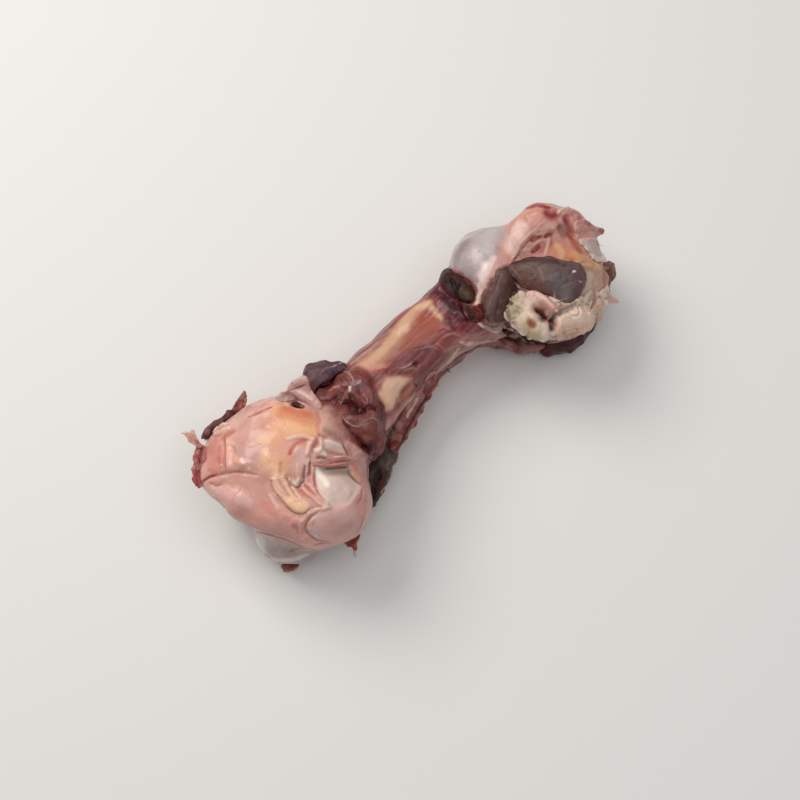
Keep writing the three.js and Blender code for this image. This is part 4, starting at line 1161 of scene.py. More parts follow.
# %% Materials
WET = {
    "Subsurface Radius": (1.0, 0.42, 0.28),  # red light travels furthest through flesh
    "Subsurface Scale": 2.2 * MM,
    "Coat IOR": 1.34,
    "Specular IOR Level": 0.4,
    "IOR": 1.4,
}


def start(name):
    """A new material with its tree, the place on the piece and the tissue's colour."""
    material = bpy.data.materials.new(name)
    material.use_nodes = True
    tree = material.node_tree
    place = add(tree, "ShaderNodeTexCoord").outputs["Object"]
    tissue = add(tree, "ShaderNodeAttribute", attribute_name="tissue").outputs["Color"]
    return material, tree, place, tissue


def toned(tree, colour, pattern, dark, light):
    """A colour made darker and lighter by a pattern that runs from 0 to 1."""
    tone = add(tree, "ShaderNodeMapRange", {"Value": pattern, "To Min": dark, "To Max": light})
    vector = add(tree, "ShaderNodeVectorMath", {0: colour, "Scale": tone.outputs[0]}, operation="SCALE")
    return vector.outputs[0]


def wet(tree, colour, roughness, dulled, bump, depth, coat, coat_roughness):
    """Joins a tissue's looks in its shader. The roughness is a pattern with its low and high end,
    `dulled` is what full dullness adds to it, and `depth` is how much light goes into the tissue."""
    shader = tree.nodes["Principled BSDF"]
    pattern, low, high = roughness
    shine = add(tree, "ShaderNodeMapRange", {"Value": pattern, "To Min": low, "To Max": high})
    dull = add(tree, "ShaderNodeAttribute", attribute_name="dull").outputs["Fac"]
    sums = {0: dull, 1: dulled, 2: shine.outputs[0]}
    rough_spots = add(tree, "ShaderNodeMath", sums, operation="MULTIPLY_ADD")
    tree.links.new(colour, shader.inputs["Base Color"])
    tree.links.new(rough_spots.outputs[0], shader.inputs["Roughness"])
    tree.links.new(add(tree, "ShaderNodeBump", bump).outputs[0], shader.inputs["Normal"])
    own = {"Subsurface Weight": depth, "Coat Weight": coat, "Coat Roughness": coat_roughness}
    for name, value in {**WET, **own}.items():
        shader.inputs[name].default_value = value


# %% [markdown]
# Joint skin and the gristle under it are smooth, with faint pores and a lumpy wet film. Fine noise
# at 0.9 mm breaks the colour, and a 3.5 mm one lets the shine come and go.

# %% Wet joint skin over gristle


def joint_skin():
    material, tree, place, tissue = start("wet joint skin over gristle")
    pores = add(tree, "ShaderNodeTexNoise", {"Vector": place, "Scale": 1 / (0.9 * MM), "Detail": 4.0})
    film = add(tree, "ShaderNodeTexNoise", {"Vector": place, "Scale": 1 / (3.5 * MM), "Detail": 3.0})
    pores, film = pores.outputs["Fac"], film.outputs["Fac"]
    colour = toned(tree, tissue, pores, 0.93, 1.07)
    fine = add(tree, "ShaderNodeBump", {"Height": pores, "Distance": 0.25 * MM, "Strength": 0.2})
    bump = {"Height": film, "Distance": 0.9 * MM, "Strength": 0.3, "Normal": fine.outputs[0]}
    wet(tree, colour, (film, 0.2, 0.45), 0.3, bump, depth=0.3, coat=0.5, coat_roughness=0.16)
    return material


# %% [markdown]
# Muscle is bundles of fibres. Each bundle is about a millimetre across, so a noise drawn out in one
# direction marks them, in both colour and bump. Fresh muscle is glossier than dried muscle.

# %% Raw and dried muscle


def muscle(name, grain, depth, coat, low, high):
    """Muscle whose fibres run along a grain in degrees from +X."""
    material, tree, place, tissue = start(name)
    turned = {"Vector": place, "Rotation": (0, 0, -math.radians(grain)), "Scale": (0.18, 1, 1)}
    along = add(tree, "ShaderNodeMapping", turned).outputs[0]
    bundles = add(tree, "ShaderNodeTexNoise", {"Vector": along, "Scale": 1 / (1.1 * MM), "Detail": 5.0})
    blotch = add(tree, "ShaderNodeTexNoise", {"Vector": place, "Scale": 1 / (5.0 * MM), "Detail": 3.0})
    bundles, blotch = bundles.outputs["Fac"], blotch.outputs["Fac"]
    colour = toned(tree, toned(tree, tissue, bundles, 0.62, 1.38), blotch, 0.8, 1.2)
    bump = {"Height": bundles, "Distance": 0.7 * MM, "Strength": 0.6}
    wet(tree, colour, (blotch, low, high), 0.15, bump, depth, coat, coat_roughness=0.2)
    return material


# %% [markdown]
# Soft fat is held in round cells under a thin film. A Voronoi pattern marks the cells, about two
# millimetres wide, and light goes deep into it.

# %% Soft raw fat


def soft_fat():
    material, tree, place, tissue = start("soft raw fat in lobules")
    cells = {"Vector": place, "Scale": 1 / (2.2 * MM)}
    lobules = add(tree, "ShaderNodeTexVoronoi", cells, feature="SMOOTH_F1").outputs["Distance"]
    grain = add(tree, "ShaderNodeTexNoise", {"Vector": place, "Scale": 1 / (0.8 * MM), "Detail": 4.0})
    grain = grain.outputs["Fac"]
    colour = toned(tree, toned(tree, tissue, lobules, 1.08, 0.84), grain, 0.86, 1.14)
    bump = {"Height": lobules, "Distance": -0.6 * MM, "Strength": 0.5}
    wet(tree, colour, (grain, 0.3, 0.55), 0.2, bump, depth=0.4, coat=0.25, coat_roughness=0.2)
    return material


# %% [markdown]
# Tendon is a white cord of fine parallel strands, and torn film is thin enough for light to pass.
# Both get a fine streaky bump and much scattering.

# %% Tendon and torn film


def tendon_film():
    material, tree, place, tissue = start("tendon and torn film")
    along = add(tree, "ShaderNodeMapping", {"Vector": place, "Scale": (0.4, 1, 1)}).outputs[0]
    strands = add(tree, "ShaderNodeTexNoise", {"Vector": along, "Scale": 1 / (0.8 * MM), "Detail": 4.0})
    strands = strands.outputs["Fac"]
    colour = toned(tree, tissue, strands, 0.8, 1.2)
    bump = {"Height": strands, "Distance": 0.4 * MM, "Strength": 0.5}
    wet(tree, colour, (strands, 0.25, 0.5), 0.2, bump, depth=0.4, coat=0.4, coat_roughness=0.15)
    return material


MATERIALS = {
    "gristle": joint_skin(),
    "red_meat": muscle("raw muscle", grain=60, depth=0.15, coat=0.35, low=0.3, high=0.55),
    "dark_meat": muscle("muscle dried in the air", grain=-75, depth=0.1, coat=0.15, low=0.42, high=0.7),
    "fat": soft_fat(),
    "sinew": tendon_film(),
}
print("materials:", ", ".join(material.name for material in MATERIALS.values()))

# %% [markdown]
# Fat lies in large smooth lobes, and comes apart in soft crumbs only where it was torn, on the right
# and along its lower edge. Geometry Nodes scatter the crumbs there, as many as an attribute allows,
# and a voxel remesh fuses them with the lobes.

# %% Crumbs of fat
crumb_rows = [
    ("Crumbs per square metre", "NodeSocketFloat", 60000.0),
    ("Smallest", "NodeSocketFloat", 0.6 * MM),
    ("Largest", "NodeSocketFloat", 1.7 * MM),
    ("Seed", "NodeSocketInt", 4),
]
crumb_tree, given = geometry_tree("crumbs on torn fat", crumb_rows)
torn = add(crumb_tree, "GeometryNodeInputNamedAttribute", {"Name": "torn"}, data_type="FLOAT")
density = {0: torn.outputs["Attribute"], 1: given["Crumbs per square metre"]}
density = add(crumb_tree, "ShaderNodeMath", density, operation="MULTIPLY")
scatter = {"Mesh": given["Geometry"], "Density": density.outputs[0], "Seed": given["Seed"]}
scattered = add(crumb_tree, "GeometryNodeDistributePointsOnFaces", scatter)
ball = add(crumb_tree, "GeometryNodeMeshIcoSphere", {"Radius": 1.0, "Subdivisions": 2})
sizes = {2: given["Smallest"], 3: given["Largest"], "Seed": given["Seed"]}
size = add(crumb_tree, "FunctionNodeRandomValue", sizes, data_type="FLOAT")
crumbs = {"Points": scattered.outputs["Points"], "Instance": ball.outputs["Mesh"], "Scale": size.outputs[1]}
placed = add(crumb_tree, "GeometryNodeInstanceOnPoints", crumbs)
real = add(crumb_tree, "GeometryNodeRealizeInstances", {"Geometry": placed.outputs[0]})
together = add(crumb_tree, "GeometryNodeJoinGeometry", {"Geometry": real.outputs[0]})
crumb_tree.links.new(given["Geometry"], together.inputs["Geometry"])
coat = {"Geometry": together.outputs[0], "Material": MATERIALS["fat"]}
coated = add(crumb_tree, "GeometryNodeSetMaterial", coat)
add(crumb_tree, "NodeGroupOutput", {"Geometry": coated.outputs[0]})
print("the crumbs' tree has", len(crumb_tree.nodes), "nodes")

# %% The fat's torn places
TORN_RIGHT = "582,284 592,296 600,308 602,322 594,332"
TORN_FOOT = "520,332 528,341 544,343 566,345 586,338"
fat_base = scrap("fat_cluster", "fat_lobes", FAT_CREAM, 0.7)
torn_share = np.maximum(fat_base.stroke(TORN_RIGHT, 13), 0.5 * fat_base.stroke(TORN_FOOT, 5))
torn_here = fat_base.piece.data.attributes.new("torn", "FLOAT", "POINT")
torn_here.data.foreach_set("value", torn_share)
run_tree(fat_base.piece, crumb_tree, {"Seed": 7})
print("the fat with its crumbs has", len(fat_base.piece.data.polygons), "faces")

# %% The fat's lobes
fat = Surface(remeshed(fat_base.piece, 0.5, rounding=7), "#d4b7a6", swell=0.1)
fat.mottle("#e8d8ca", 7, 0.6, seed=201)
fat.mottle("#b58474", 5, 0.4, seed=202, cover=0.35)
fat.mottle("#b0957c", 9, 0.3, seed=203, cover=0.25)
fat.height += 0.5 * rough(fat.points, 5, seed=205)
fat.creases(8, 0.9, 204, "#8a5a4e", amount=0.5, width=0.09)
fat.patches([
    ("green left lobe", "#a89a80", 3, 0.85, 0.9, "506,296 513,291 520,295 523,306 520,318 510,322 505,310"),
    ("cream main lobe", "#e2cdb8", 2.5, 0.95, 1.7,
     "517,318 524,311 536,313 545,320 549,330 546,339 534,342 524,338 518,328"),
    ("cream lower lobe", "#e0bca6", 3, 0.95, 1.6,
     "556,318 566,312 580,310 593,315 592,327 580,336 566,341 556,336 552,327"),
])
fat.strokes([
    ("pink rim", "#d6a39b", 7, 0.95, 2.2, "518,292 527,292 538,297 548,304 557,313"),
    ("light on the rim", "#e4bfb5", 3, 0.85, 0.4, "520,291 530,293 541,299 551,307"),
    ("green shade", "#857a60", 4, 0.8, -0.6, "508,300 507,310 510,318"),
    # painted shade in the gap below the fat
    ("painted shade below the fat", "#160b08", 9, 1.0, -3.6, "500,327 508,331 516,336 522,342"),
    ("dark spot in the green", "#3f3426", 2.4, 0.9, -1.2, "510,302 512,304"),
    ("cream upper left", "#dac4b0", 9, 0.85, 0.5, "522,298 526,306 534,311"),
    ("yellow green middle", "#d5c39a", 7, 0.6, 0, "526,320 530,330 540,334"),
    ("amber spot", "#b3694a", 5.4, 0.95, -0.5, "530,321 533,325"),
    ("round the amber spot", "#c3a47c", 7, 0.5, 0.3, "524,324 529,331 538,330"),
    ("white lower edge", "#efe4d4", 4, 0.85, 0.5, "520,330 527,338 538,341 547,337"),
    ("pink hollow", "#a8706a", 11, 0.95, -2.4, "538,310 545,316 552,322"),
    # painted shade deep in the hollow
    ("painted shade in the fat's hollow", "#3f1715", 5, 0.97, -2.4, "537,310 542,314 544,320"),
    ("lilac skin in the hollow", "#a3807a", 3.6, 0.8, 0.8, "547,312 551,318 550,325"),
    # the slot's near-black is painted shade
    ("dark slot", "#4c1e1b", 4.4, 0.97, -2.2, "551,322 555,320 552,330"),
    ("cream top of the lower lobe", "#ecd3c0", 8, 0.85, 0.4, "560,320 572,317 586,317"),
    ("amber low in the lobe", "#c49473", 6, 0.6, -0.3, "562,330 568,333 576,330"),
    ("pink by the lower lobe", "#b98b7d", 5, 0.7, 0, "554,336 564,342 576,335"),
    ("cream edge", "#e0cdb9", 3, 0.8, 0.5, "548,337 558,341 568,343 584,335"),
    ("crumbly right side", "#c9ad97", 14, 0.8, 0, "590,290 597,302 600,316"),
    ("white upper right", "#b9ad9d", 6, 0.85, 0.6, "588,276 585,288 579,302"),
    ("cream strand beside it", "#cbbca6", 3, 0.8, 0.6, "592,278 589,292 584,306"),
    ("rose on the right", "#a8716a", 3, 0.8, -0.8, "594,286 596,298 592,308"),
    ("pink spot", "#b27c76", 3, 0.7, 0, "600,296 603,304"),
    ("grey film under the cap", "#7f6f64", 4, 0.8, -0.6, "556,314 566,310 576,304"),
    ("right edge", "#b48e80", 4, 0.6, 0.3, "602,312 604,322 600,330"),
])
fat.finish()

# %% [markdown]
# Torn skin and film hang on as leaves. A leaf is cut out along its outline in the photograph and
# hung over the flesh that carries it: each point's depth is weighed from those of the outline's
# corners, the nearer ones more. A little noise crumples it, and a thickness makes it a solid. A few
# dark ones are painted shade: they close off the bottoms of hollows and gaps, where a wet floor
# would catch the light, and the one below the ball is dark meat as well.

# %% Leaves of skin and film
LEAF_STEP = 0.8  # the spacing of a leaf's points in pixels
LEAF_CELL = 0.3


def leaf(name, base, outline, lift=0.4, thickness=0.8, ruffle=0.6):
    """A thin crumpled sheet over a surface, cut to an outline of pixels."""
    corners = path(outline)
    depths = np.array([(EYE - base.cast(p)) @ TO_CAMERA for p in corners])
    low, high = corners.min(0) - 2, corners.max(0) + 2
    across, down = (np.arange(low[k], high[k], LEAF_STEP) for k in (0, 1))
    places = np.stack(np.meshgrid(across, down), axis=-1).reshape(-1, 2)
    inside = (outside(corners, places) < 0).reshape(len(down), len(across))
    number = np.arange(len(places)).reshape(inside.shape)
    whole = inside[:-1, :-1] & inside[1:, :-1] & inside[1:, 1:] & inside[:-1, 1:]
    squares = np.stack([number[:-1, :-1], number[1:, :-1], number[1:, 1:], number[:-1, 1:]], axis=-1)[whole]
    used, faces = np.unique(squares, return_inverse=True)
    places = places[used]
    gaps = np.linalg.norm(places[:, None] - corners[None], axis=2)
    weights = 1 / (gaps**2 + 4)
    depth = weights @ depths / weights.sum(1)
    offsets = (places - PHOTO / 2) / FOCUS
    lines = offsets[:, :1] * RIGHT - offsets[:, 1:] * UP - TO_CAMERA
    points = EYE + depth[:, None] * lines
    points += (lift + ruffle * rough(points, 4, seed=61))[:, None] * TO_CAMERA
    mesh = bpy.data.meshes.new(name)
    mesh.from_pydata(points * MM, [], faces.reshape(-1, 4))
    piece = new_piece(name, mesh)
    thick = piece.modifiers.new("thick", "SOLIDIFY")
    thick.thickness = thickness * MM
    thick.offset = 0
    return remeshed(piece, LEAF_CELL, rounding=6)


def hung(name, node, outline, colour, marks, stain=0.2, dull=0.0, **form):
    """A leaf over a CAD node's solid or over another surface, with its marks."""
    base = node
    if not isinstance(node, Surface):
        base = scrap(node, name + "_form", colour, cell=0.6, rounding=2, swell=0)
    surface = Surface(leaf(name, base, outline, **form), colour, swell=0.1)
    if base is not node:
        bpy.data.objects.remove(base.piece)
    surface.mottle(SKIN_PALE, 4, 0.2, seed=211)
    surface.mottle(BLOOD, 3, stain, seed=212, cover=0.35)
    surface.height += 0.15 * rough(surface.points, 2, seed=213)
    surface.strokes(marks)
    surface.finish(dull)
    return surface


print("a leaf's faces are", LEAF_CELL, "mm wide")

# %% Outlines and marks at the knee end
TENDON_FLAP = (
    "274,399 276,397 281,392 286,391 288,388 292,383 298,379 304,375.5 308,380 311,388 316,396 321,403 "
    "321,410 317,412 311,408 305,404 298,400.5 292,401 286,402.5 280,402"
)
TENDON_FLAP_MARKS = [
    ("upper lobe", "#c5a098", 8, 0.9, 0.8, "291,385 298,381 305,380"),
    ("crease between the lobes", "#7d4f4a", 1.6, 0.7, -0.5, "291,390 298,388 305,385"),
    ("long lobe", "#cfa49b", 8, 0.9, 1.2, "295,392 303,396 311,401 318,407"),
    ("shine of the long lobe", "#e6c6bd", 2.6, 0.7, 0.3, "297,390 305,394 313,399"),
    ("grey membrane", "#a17f7a", 10, 0.85, 0, "277,398 284,396 290,397"),
    ("light edge of the membrane", "#c5a59d", 1.8, 0.8, 0.2, "275,398 281,393 287,391"),
]
CORNER_TAG = (
    "179,432.6 185.5,431.6 189.9,431.3 191.4,428.3 194.5,430 197.5,438 201,443 204,447 200,449 "
    "192.5,444.4 188.4,442 186.9,438.3 184.2,434.5"
)
CORNER_TAG_MARKS = [
    ("rose root", "#a4635c", 4, 0.8, 0, "196,441 201,446"),
    ("bright edge", "#e0b9a8", 1.6, 0.9, 0.3, "181,433 188,433 193,433 197,441"),
]
TOP_TAG = (
    "230,411 231.8,408.5 235.3,402 238.7,396.8 241.9,392.2 244.3,389.6 246,391.5 246.6,396 246.8,401 "
    "245.5,407 237,413"
)
TOP_TAG_MARKS = [("pink right rim", "#b07a6a", 1.8, 0.9, 0.3, "245,391 246.5,397 246,405")]
ROLLER_TAG = (
    "343,543 347,538 354,535 361,532 360,539 357,543.5 358,548 356.5,552 356.3,557.5 354,557.5 "
    "353.5,551 351.5,547 347,547"
)
ROLLER_TAG_MARKS = [
    ("dark red", "#6e2426", 3.4, 0.8, -0.3, "348,543 353,540 357,538"),
    ("pale thread", "#d5bdb2", 1.6, 0.9, 0, "355,551 355.3,557"),
]
ROLLER_SCRAP = "280,562 287,561 296,561 301,563.5 297.5,568 292,571.5 284,571.8 281,568"
ROLLER_SCRAP_MARKS = [
    ("dark root", "#531f20", 3, 0.8, 0, "284,563 296,563"),
    ("pink lower rim", "#ad6b62", 2, 0.9, 0.3, "284,571 291,571 297,567"),
]
KNEE_FILM = (
    "200,443 196,446.5 194.5,451 192.4,457 193.4,463 191,469 192.4,475 191.8,480 195.5,486 199,489 "
    "204,486 207,476 207,460 206,446"
)
KNEE_FILM_MARKS = [
    ("translucent rim", "#a86a64", 2, 0.8, 0, "195,452 193,462 193,474 196,483"),
    ("dark streak", "#6a1f27", 4, 0.9, 0.4, "202,446 200,458 199.5,470 202,483"),
    ("crimson", "#8d3339", 2.2, 0.8, 0.3, "197,454 196,466 198,478"),
]
KNEE_CURL = (
    "213,433 215.3,428 221.8,424.2 228.3,423.2 231,426.6 227.5,427.6 222.5,428.8 218,431.4 215.6,434.5"
)
KNEE_CURL_MARKS = [
    ("white rim", "#e2cdc2", 1.4, 0.9, 0.3, "213.6,432 215.7,428.2 222.3,424.6 229,424"),
    ("cream middle", "#dbae9d", 3, 0.8, -0.3, "217,432 222,429.5 228,428.5"),
]
FLAP_HOLE = "291,402.5 294,401.3 299,401.8 304,404.6 304.5,408.2 300,408.4 295,407.2 291.5,405.6"
print("the tendon flap's outline has", len(path(TENDON_FLAP)), "corners")

# %% Outlines and marks at the hip end and the shaft
HIP_FLAP = (
    "573.5,223 577,220.3 584,218.6 590,221.8 594.6,226 603.5,228 605.2,231 603,234.5 595.6,238 "
    "596,243.5 600.3,252 603.6,254.7 606.8,260.7 602.5,262.8 596.4,262.8 591.8,259.3 586.5,251 "
    "579.5,244.6 576.3,238.6 574,230"
)
HIP_FLAP_MARKS = [
    ("pink back", "#d09c92", 8, 0.8, 0.3, "578,226 586,226 594,230"),
    ("rose patch", "#95565a", 3.4, 0.7, 0, "586,222 590,224"),
    ("red tip", "#9d5040", 4.4, 0.9, 0, "599,230 604,231"),
    ("grey seam", "#8d6d6a", 2, 0.6, -0.3, "578,238 586,239 594,238"),
    ("white gristle", "#b5aaa8", 9, 0.95, 0, "586,246 593,251 600,259"),
    ("light edge", "#d3cac8", 1.6, 0.8, 0, "596,244 600,252 605,260"),
]
HIP_SCRAP = (
    "598,262 604,262 609,260.5 614.5,263 615.7,270 617,274.5 614,280 610.5,284 609.5,293 604,292 "
    "601,284 601,274"
)
HIP_SCRAP_MARKS = [
    ("light film", "#8c6c60", 2.4, 0.8, 0.4, "604,266 609,264 613,268 613,276"),
    ("dark fold", "#4b2f28", 1.8, 0.7, -0.4, "605,272 607,280 606,288"),
]
HIP_SPIKE = (
    "600.5,274.5 603,283 606,291 613,296 619.5,301 619,303.5 613,303.3 607,303 602,306 594,305 589,297 "
    "593,286"
)
HIP_SPIKE_MARKS = [
    ("pink ridge", "#d5a59e", 3, 0.8, 0.5, "598,292 606,297 615,301"),
    ("rose side", "#a76e69", 2.4, 0.7, 0, "597,300 604,302"),
]
FAR_GRISTLE = (
    "577,239 586,238 595.6,238 596,243.5 600.3,252 603.6,254.7 606.8,260.7 602.5,262.8 596.4,262.8 "
    "591.8,259.3 586.5,251 579.5,244.6"
)
HOLLOW_MARKS = [
    ("blood in the hollow", "#6b2023", 4, 0.9, 1.0, "478,309 481,312 480,317"),
    # painted shade in the corner of the hollow below the ball
    ("painted shade in the hollow's corner", "#34120e", 5, 0.9, -0.3, "463,305 468,310 472,317"),
]
FAT_GAP = (
    "500,331 503,327.5 508,329 513,331.5 519,332.5 523,337 530,340.5 540,342.5 552,342 552,344 540,345 "
    "528,343.5 518,340 508,337"
)
SMALL_FLAP = "503,314 508,315 514.5,318.5 514,325 510,330 505.5,328 504,321"
FRINGE_FILM = (
    "449,366 445,374 441,377 438,386 433,391 431,399 425,405 424,412 418,418 417,426 410,431 408,439 "
    "402,445 397,453 390,449 388,440 392,430 399,417 406,405 414,393 423,381 432,371 440,362"
)
FRINGE_FILM_MARKS = [
    ("pink inner side", "#a9766d", 5, 0.85, 0, "392,441 397,428 405,414 414,400 424,385"),
    ("dark root", "#45201d", 2.4, 0.9, -0.3, "399,446 409,427 421,406 435,385 447,368"),
    ("light shred", "#99635a", 2, 0.8, 0.4, "405,438 413,424 421,410"),
    ("orange shred", "#a9663f", 2, 0.8, 0.4, "428,396 434,388 438,381"),
]
FASCIA_FOOT = (
    "476,322 480,326.5 487.6,330.5 494.3,333 501,332.6 504,326 505.5,319.5 502,320 497,325.3 489,325.3 "
    "482,321.5"
)
FASCIA_FOOT_MARKS = [
    ("brown root", "#7c5f57", 3, 0.8, 0, "482,322 490,326 498,326"),
    ("light rim", "#cbb5ab", 2, 0.8, 0.3, "478,324 486,329.5 494,332 502,331"),
]
WHITE_TENDON = "404,418 407,411 411,404 415,398 419,394 421.5,395 418.5,400 415,406 411,413 408,419"
print("the hip flap's outline has", len(path(HIP_FLAP)), "corners")

# %% [markdown]
# Three solids of sinew are too thick for leaves: the band across the knee end, the lobe under the fat
# and the torn fringe of the shaft. They are made like the meat, but paler and finer.

# %% Sinews


def sinew(node, name, colour, marks, swell=0.0):
    """The skin of a CAD node of sinew, with its marks."""
    surface = scrap(node, name, colour, cell=0.45, rounding=6, swell=swell)
    surface.mottle(SKIN_PALE, 4, 0.3, seed=211)
    surface.mottle(SKIN_ROSE, 3, 0.3, seed=212, cover=0.4)
    surface.height += 0.18 * rough(surface.points, 3, seed=213)
    surface.strokes(marks)
    surface.finish()
    return surface


BAND_MARKS = [
    ("left end drawn thin", None, 9, 1, -0.9, "312,461 320,461 328,461"),
    ("upper strand", "#c9968a", 2.6, 0.9, 0.3, "317,459 330,456 345,456 360,459"),
    ("light on it", "#e2b9ab", 1.4, 0.85, 0.2, "322,457 336,454.5 352,456"),
    # the cleft between the band's strands is darkened with painted shade
    ("dark cleft", "#84463c", 1.5, 0.9, -0.5, "316,464.5 326,463 338,461.5 350,461"),
    ("lower strand", "#b0786b", 2, 0.8, 0.2, "318,467 332,466 346,464 358,464"),
]
LOBE_MARKS = [
    ("pink lobe", "#9a6661", 12, 0.9, 0.8, "528,347 538,349"),
    ("lilac side", "#936a6b", 3, 0.8, 0.3, "540,346 547,348 541,352"),
    ("pale edge", "#9c706a", 1.8, 0.8, 0.4, "519,346 528,353 540,354 550,346"),
    # the dark root is painted shade where the lobe runs in under the fat
    ("dark root", "#40201e", 6, 0.85, 0, "506,339 520,341 540,341 556,342"),
    ("dark film", "#45252a", 8, 0.8, 0, "562,346 576,344 590,340"),
]
FRINGE_MARKS = [
    ("white tendon", "#bb9d95", 4.6, 1.0, 0.9, "404,417 409,408 414,400 419,394"),
    ("red fringe", "#6f3432", 6, 0.85, 0, "404,436 416,420 428,400"),
    ("dark stubble", "#4d2624", 3, 0.7, -0.4, "402,440 412,424 422,406"),
    ("wine upper fringe", "#5c322f", 5, 0.85, 0, "438,388 450,372 466,358"),
    ("grey strand", "#94726a", 2, 0.8, 0.5, "446,366 462,356 482,348 498,344"),
]
SINEWS = [
    (sinew("knee_band", "knee_band_tendon", "#b07b6e", BAND_MARKS, -0.35), "knee_band", "sinew"),
    (sinew("lower_lobe", "lower_lobe_skin", "#74433f", LOBE_MARKS), "lower_lobe", "sinew"),
    (sinew("shaft_fringe", "shaft_fringe_torn", "#7c4541", FRINGE_MARKS), "shaft_fringe", "sinew"),
]
print("sinews:", len(SINEWS))

# %% Hang the leaves
LEAVES = [
    # the piece's name, its node, outline, colour, marks and slot
    ("tendon_flap_skin", "tendon_flap", TENDON_FLAP, "#b98c84", TENDON_FLAP_MARKS, "sinew"),
    ("corner_tag_skin", "corner_tag", CORNER_TAG, "#d8ad9b", CORNER_TAG_MARKS, "sinew"),
    ("top_tag_red", "top_tag", TOP_TAG, "#753c2e", TOP_TAG_MARKS, "red_meat"),
    ("roller_tag_red", "roller_tag", ROLLER_TAG, "#93403a", ROLLER_TAG_MARKS, "red_meat"),
    ("hip_flap_skin", "hip_flap", HIP_FLAP, "#cc9a8f", HIP_FLAP_MARKS, "sinew"),
    ("hip_scrap_film", "hip_scrap", HIP_SCRAP, "#7c5c50", HIP_SCRAP_MARKS, "dark_meat"),
    ("hip_spike_skin", "hip_spike", HIP_SPIKE, "#dbb4aa", HIP_SPIKE_MARKS, "sinew"),
    ("roller_scrap_red", "roller_scrap", ROLLER_SCRAP, "#803a36", ROLLER_SCRAP_MARKS, "red_meat"),
]
LEAF_PIECES = [(hung(name, node, *rest), node, slot) for name, node, *rest, slot in LEAVES]
FILMS = [
    hung("knee_edge_film", bone, KNEE_FILM, "#963f41", KNEE_FILM_MARKS, lift=0.2, thickness=1.0),
    hung("fringe_film", bone, FRINGE_FILM, "#7b3c38", FRINGE_FILM_MARKS, lift=-0.7, ruffle=0.7),
    hung("fascia_foot", bone, FASCIA_FOOT, "#a98e86", FASCIA_FOOT_MARKS, lift=0.4),
    hung("far_gristle", bone, FAR_GRISTLE, "#c3b2aa", [], stain=0, lift=1.7, thickness=1.0, ruffle=0.05),
    hung("white_tendon", bone, WHITE_TENDON, "#b99c93", [], 0.1, lift=2.8, thickness=1.2, ruffle=0.3),
    hung("knee_curl", bone, KNEE_CURL, "#c69786", KNEE_CURL_MARKS, 0.1, lift=0.4, thickness=0.7, ruffle=0.2),
    hung("small_flap", bone, SMALL_FLAP, "#6e5c4e", [], lift=1.2),
]
# dark films of painted shade at the bottoms of hollows and gaps; the one below the ball is also dark meat
HOLLOWS = [
    # the film's name, what it hangs on, its outline, colour, marks and lift
    ("gap_below_fat", fat, FAT_GAP, "#1c0d0a", [], 0.3),
    ("hole_under_flap", bone, FLAP_HOLE, "#4a160f", [], -0.1),
    ("hollow_below_ball", bone, NECK_HOLLOW, "#4a1d17", HOLLOW_MARKS, 0.3),
    ("gap_beside_cap", bone, CAP_GAP, "#1c0d0a", [], 0.2),
]
DARK_FILMS = [
    hung(*row, 0.1, dull=0.8, lift=lift, thickness=0.5, ruffle=0.3) for *row, lift in HOLLOWS
]
print("leaves:", len(LEAF_PIECES + FILMS + DARK_FILMS))

# %% [markdown]
# Torn muscle leaves a fringe of short shreds along its edge. Each shred is the same bent cone, set
# along a line by Geometry Nodes with its own size and lean. Two fringes use the one tree: under the
# shaft and below the collar.

# %% Fringes of torn shreds
shred_rows = [
    ("Count", "NodeSocketInt", 60),
    ("Length", "NodeSocketFloat", 4.0 * MM),
    ("Thickness", "NodeSocketFloat", 0.45 * MM),
    ("Outward", "NodeSocketVector", (0.0, -1.0, -0.3)),
    ("Lean", "NodeSocketFloat", 0.7),
    ("Seed", "NodeSocketInt", 1),
]
shred_tree, given = geometry_tree("shreds along an edge", shred_rows)
line = add(shred_tree, "GeometryNodeMeshToCurve", {"Mesh": given["Geometry"]})
spots = add(shred_tree, "GeometryNodeCurveToPoints", {"Curve": line.outputs[0], "Count": given["Count"]})
cone = {"Vertices": 6, "Side Segments": 5, "Radius Top": 0.15, "Radius Bottom": 1.0, "Depth": 1.0}
shred = add(shred_tree, "GeometryNodeMeshCone", cone)
lean = {"Min": (-1.0, -1.0, -1.0), "Max": (1.0, 1.0, 1.0), "Seed": given["Seed"]}
leaning = add(shred_tree, "FunctionNodeRandomValue", lean, data_type="FLOAT_VECTOR")
swayed = {0: leaning.outputs[0], "Scale": given["Lean"]}
sway = add(shred_tree, "ShaderNodeVectorMath", swayed, operation="SCALE")
heading = add(shred_tree, "ShaderNodeVectorMath", {0: given["Outward"], 1: sway.outputs[0]})
turn = add(shred_tree, "FunctionNodeAlignRotationToVector", {"Vector": heading.outputs[0]}, axis="Z")
lengths = {2: 0.35, 3: 1.0, "Seed": given["Seed"]}
share = add(shred_tree, "FunctionNodeRandomValue", lengths, data_type="FLOAT")
long = add(shred_tree, "ShaderNodeMath", {0: share.outputs[1], 1: given["Length"]}, operation="MULTIPLY")
form = {"X": given["Thickness"], "Y": given["Thickness"], "Z": long.outputs[0]}
scale = add(shred_tree, "ShaderNodeCombineXYZ", form)
shreds = {"Points": spots.outputs[0], "Instance": shred.outputs[0]}
shreds.update({"Rotation": turn.outputs[0], "Scale": scale.outputs[0]})
grown = add(shred_tree, "GeometryNodeInstanceOnPoints", shreds)
real = add(shred_tree, "GeometryNodeRealizeInstances", {"Geometry": grown.outputs[0]})
wobble = add(shred_tree, "ShaderNodeTexNoise", {"Scale": 1 / (2.5 * MM), "Detail": 1.0})
centring = {0: wobble.outputs["Color"], 1: (0.5, 0.5, 0.5)}
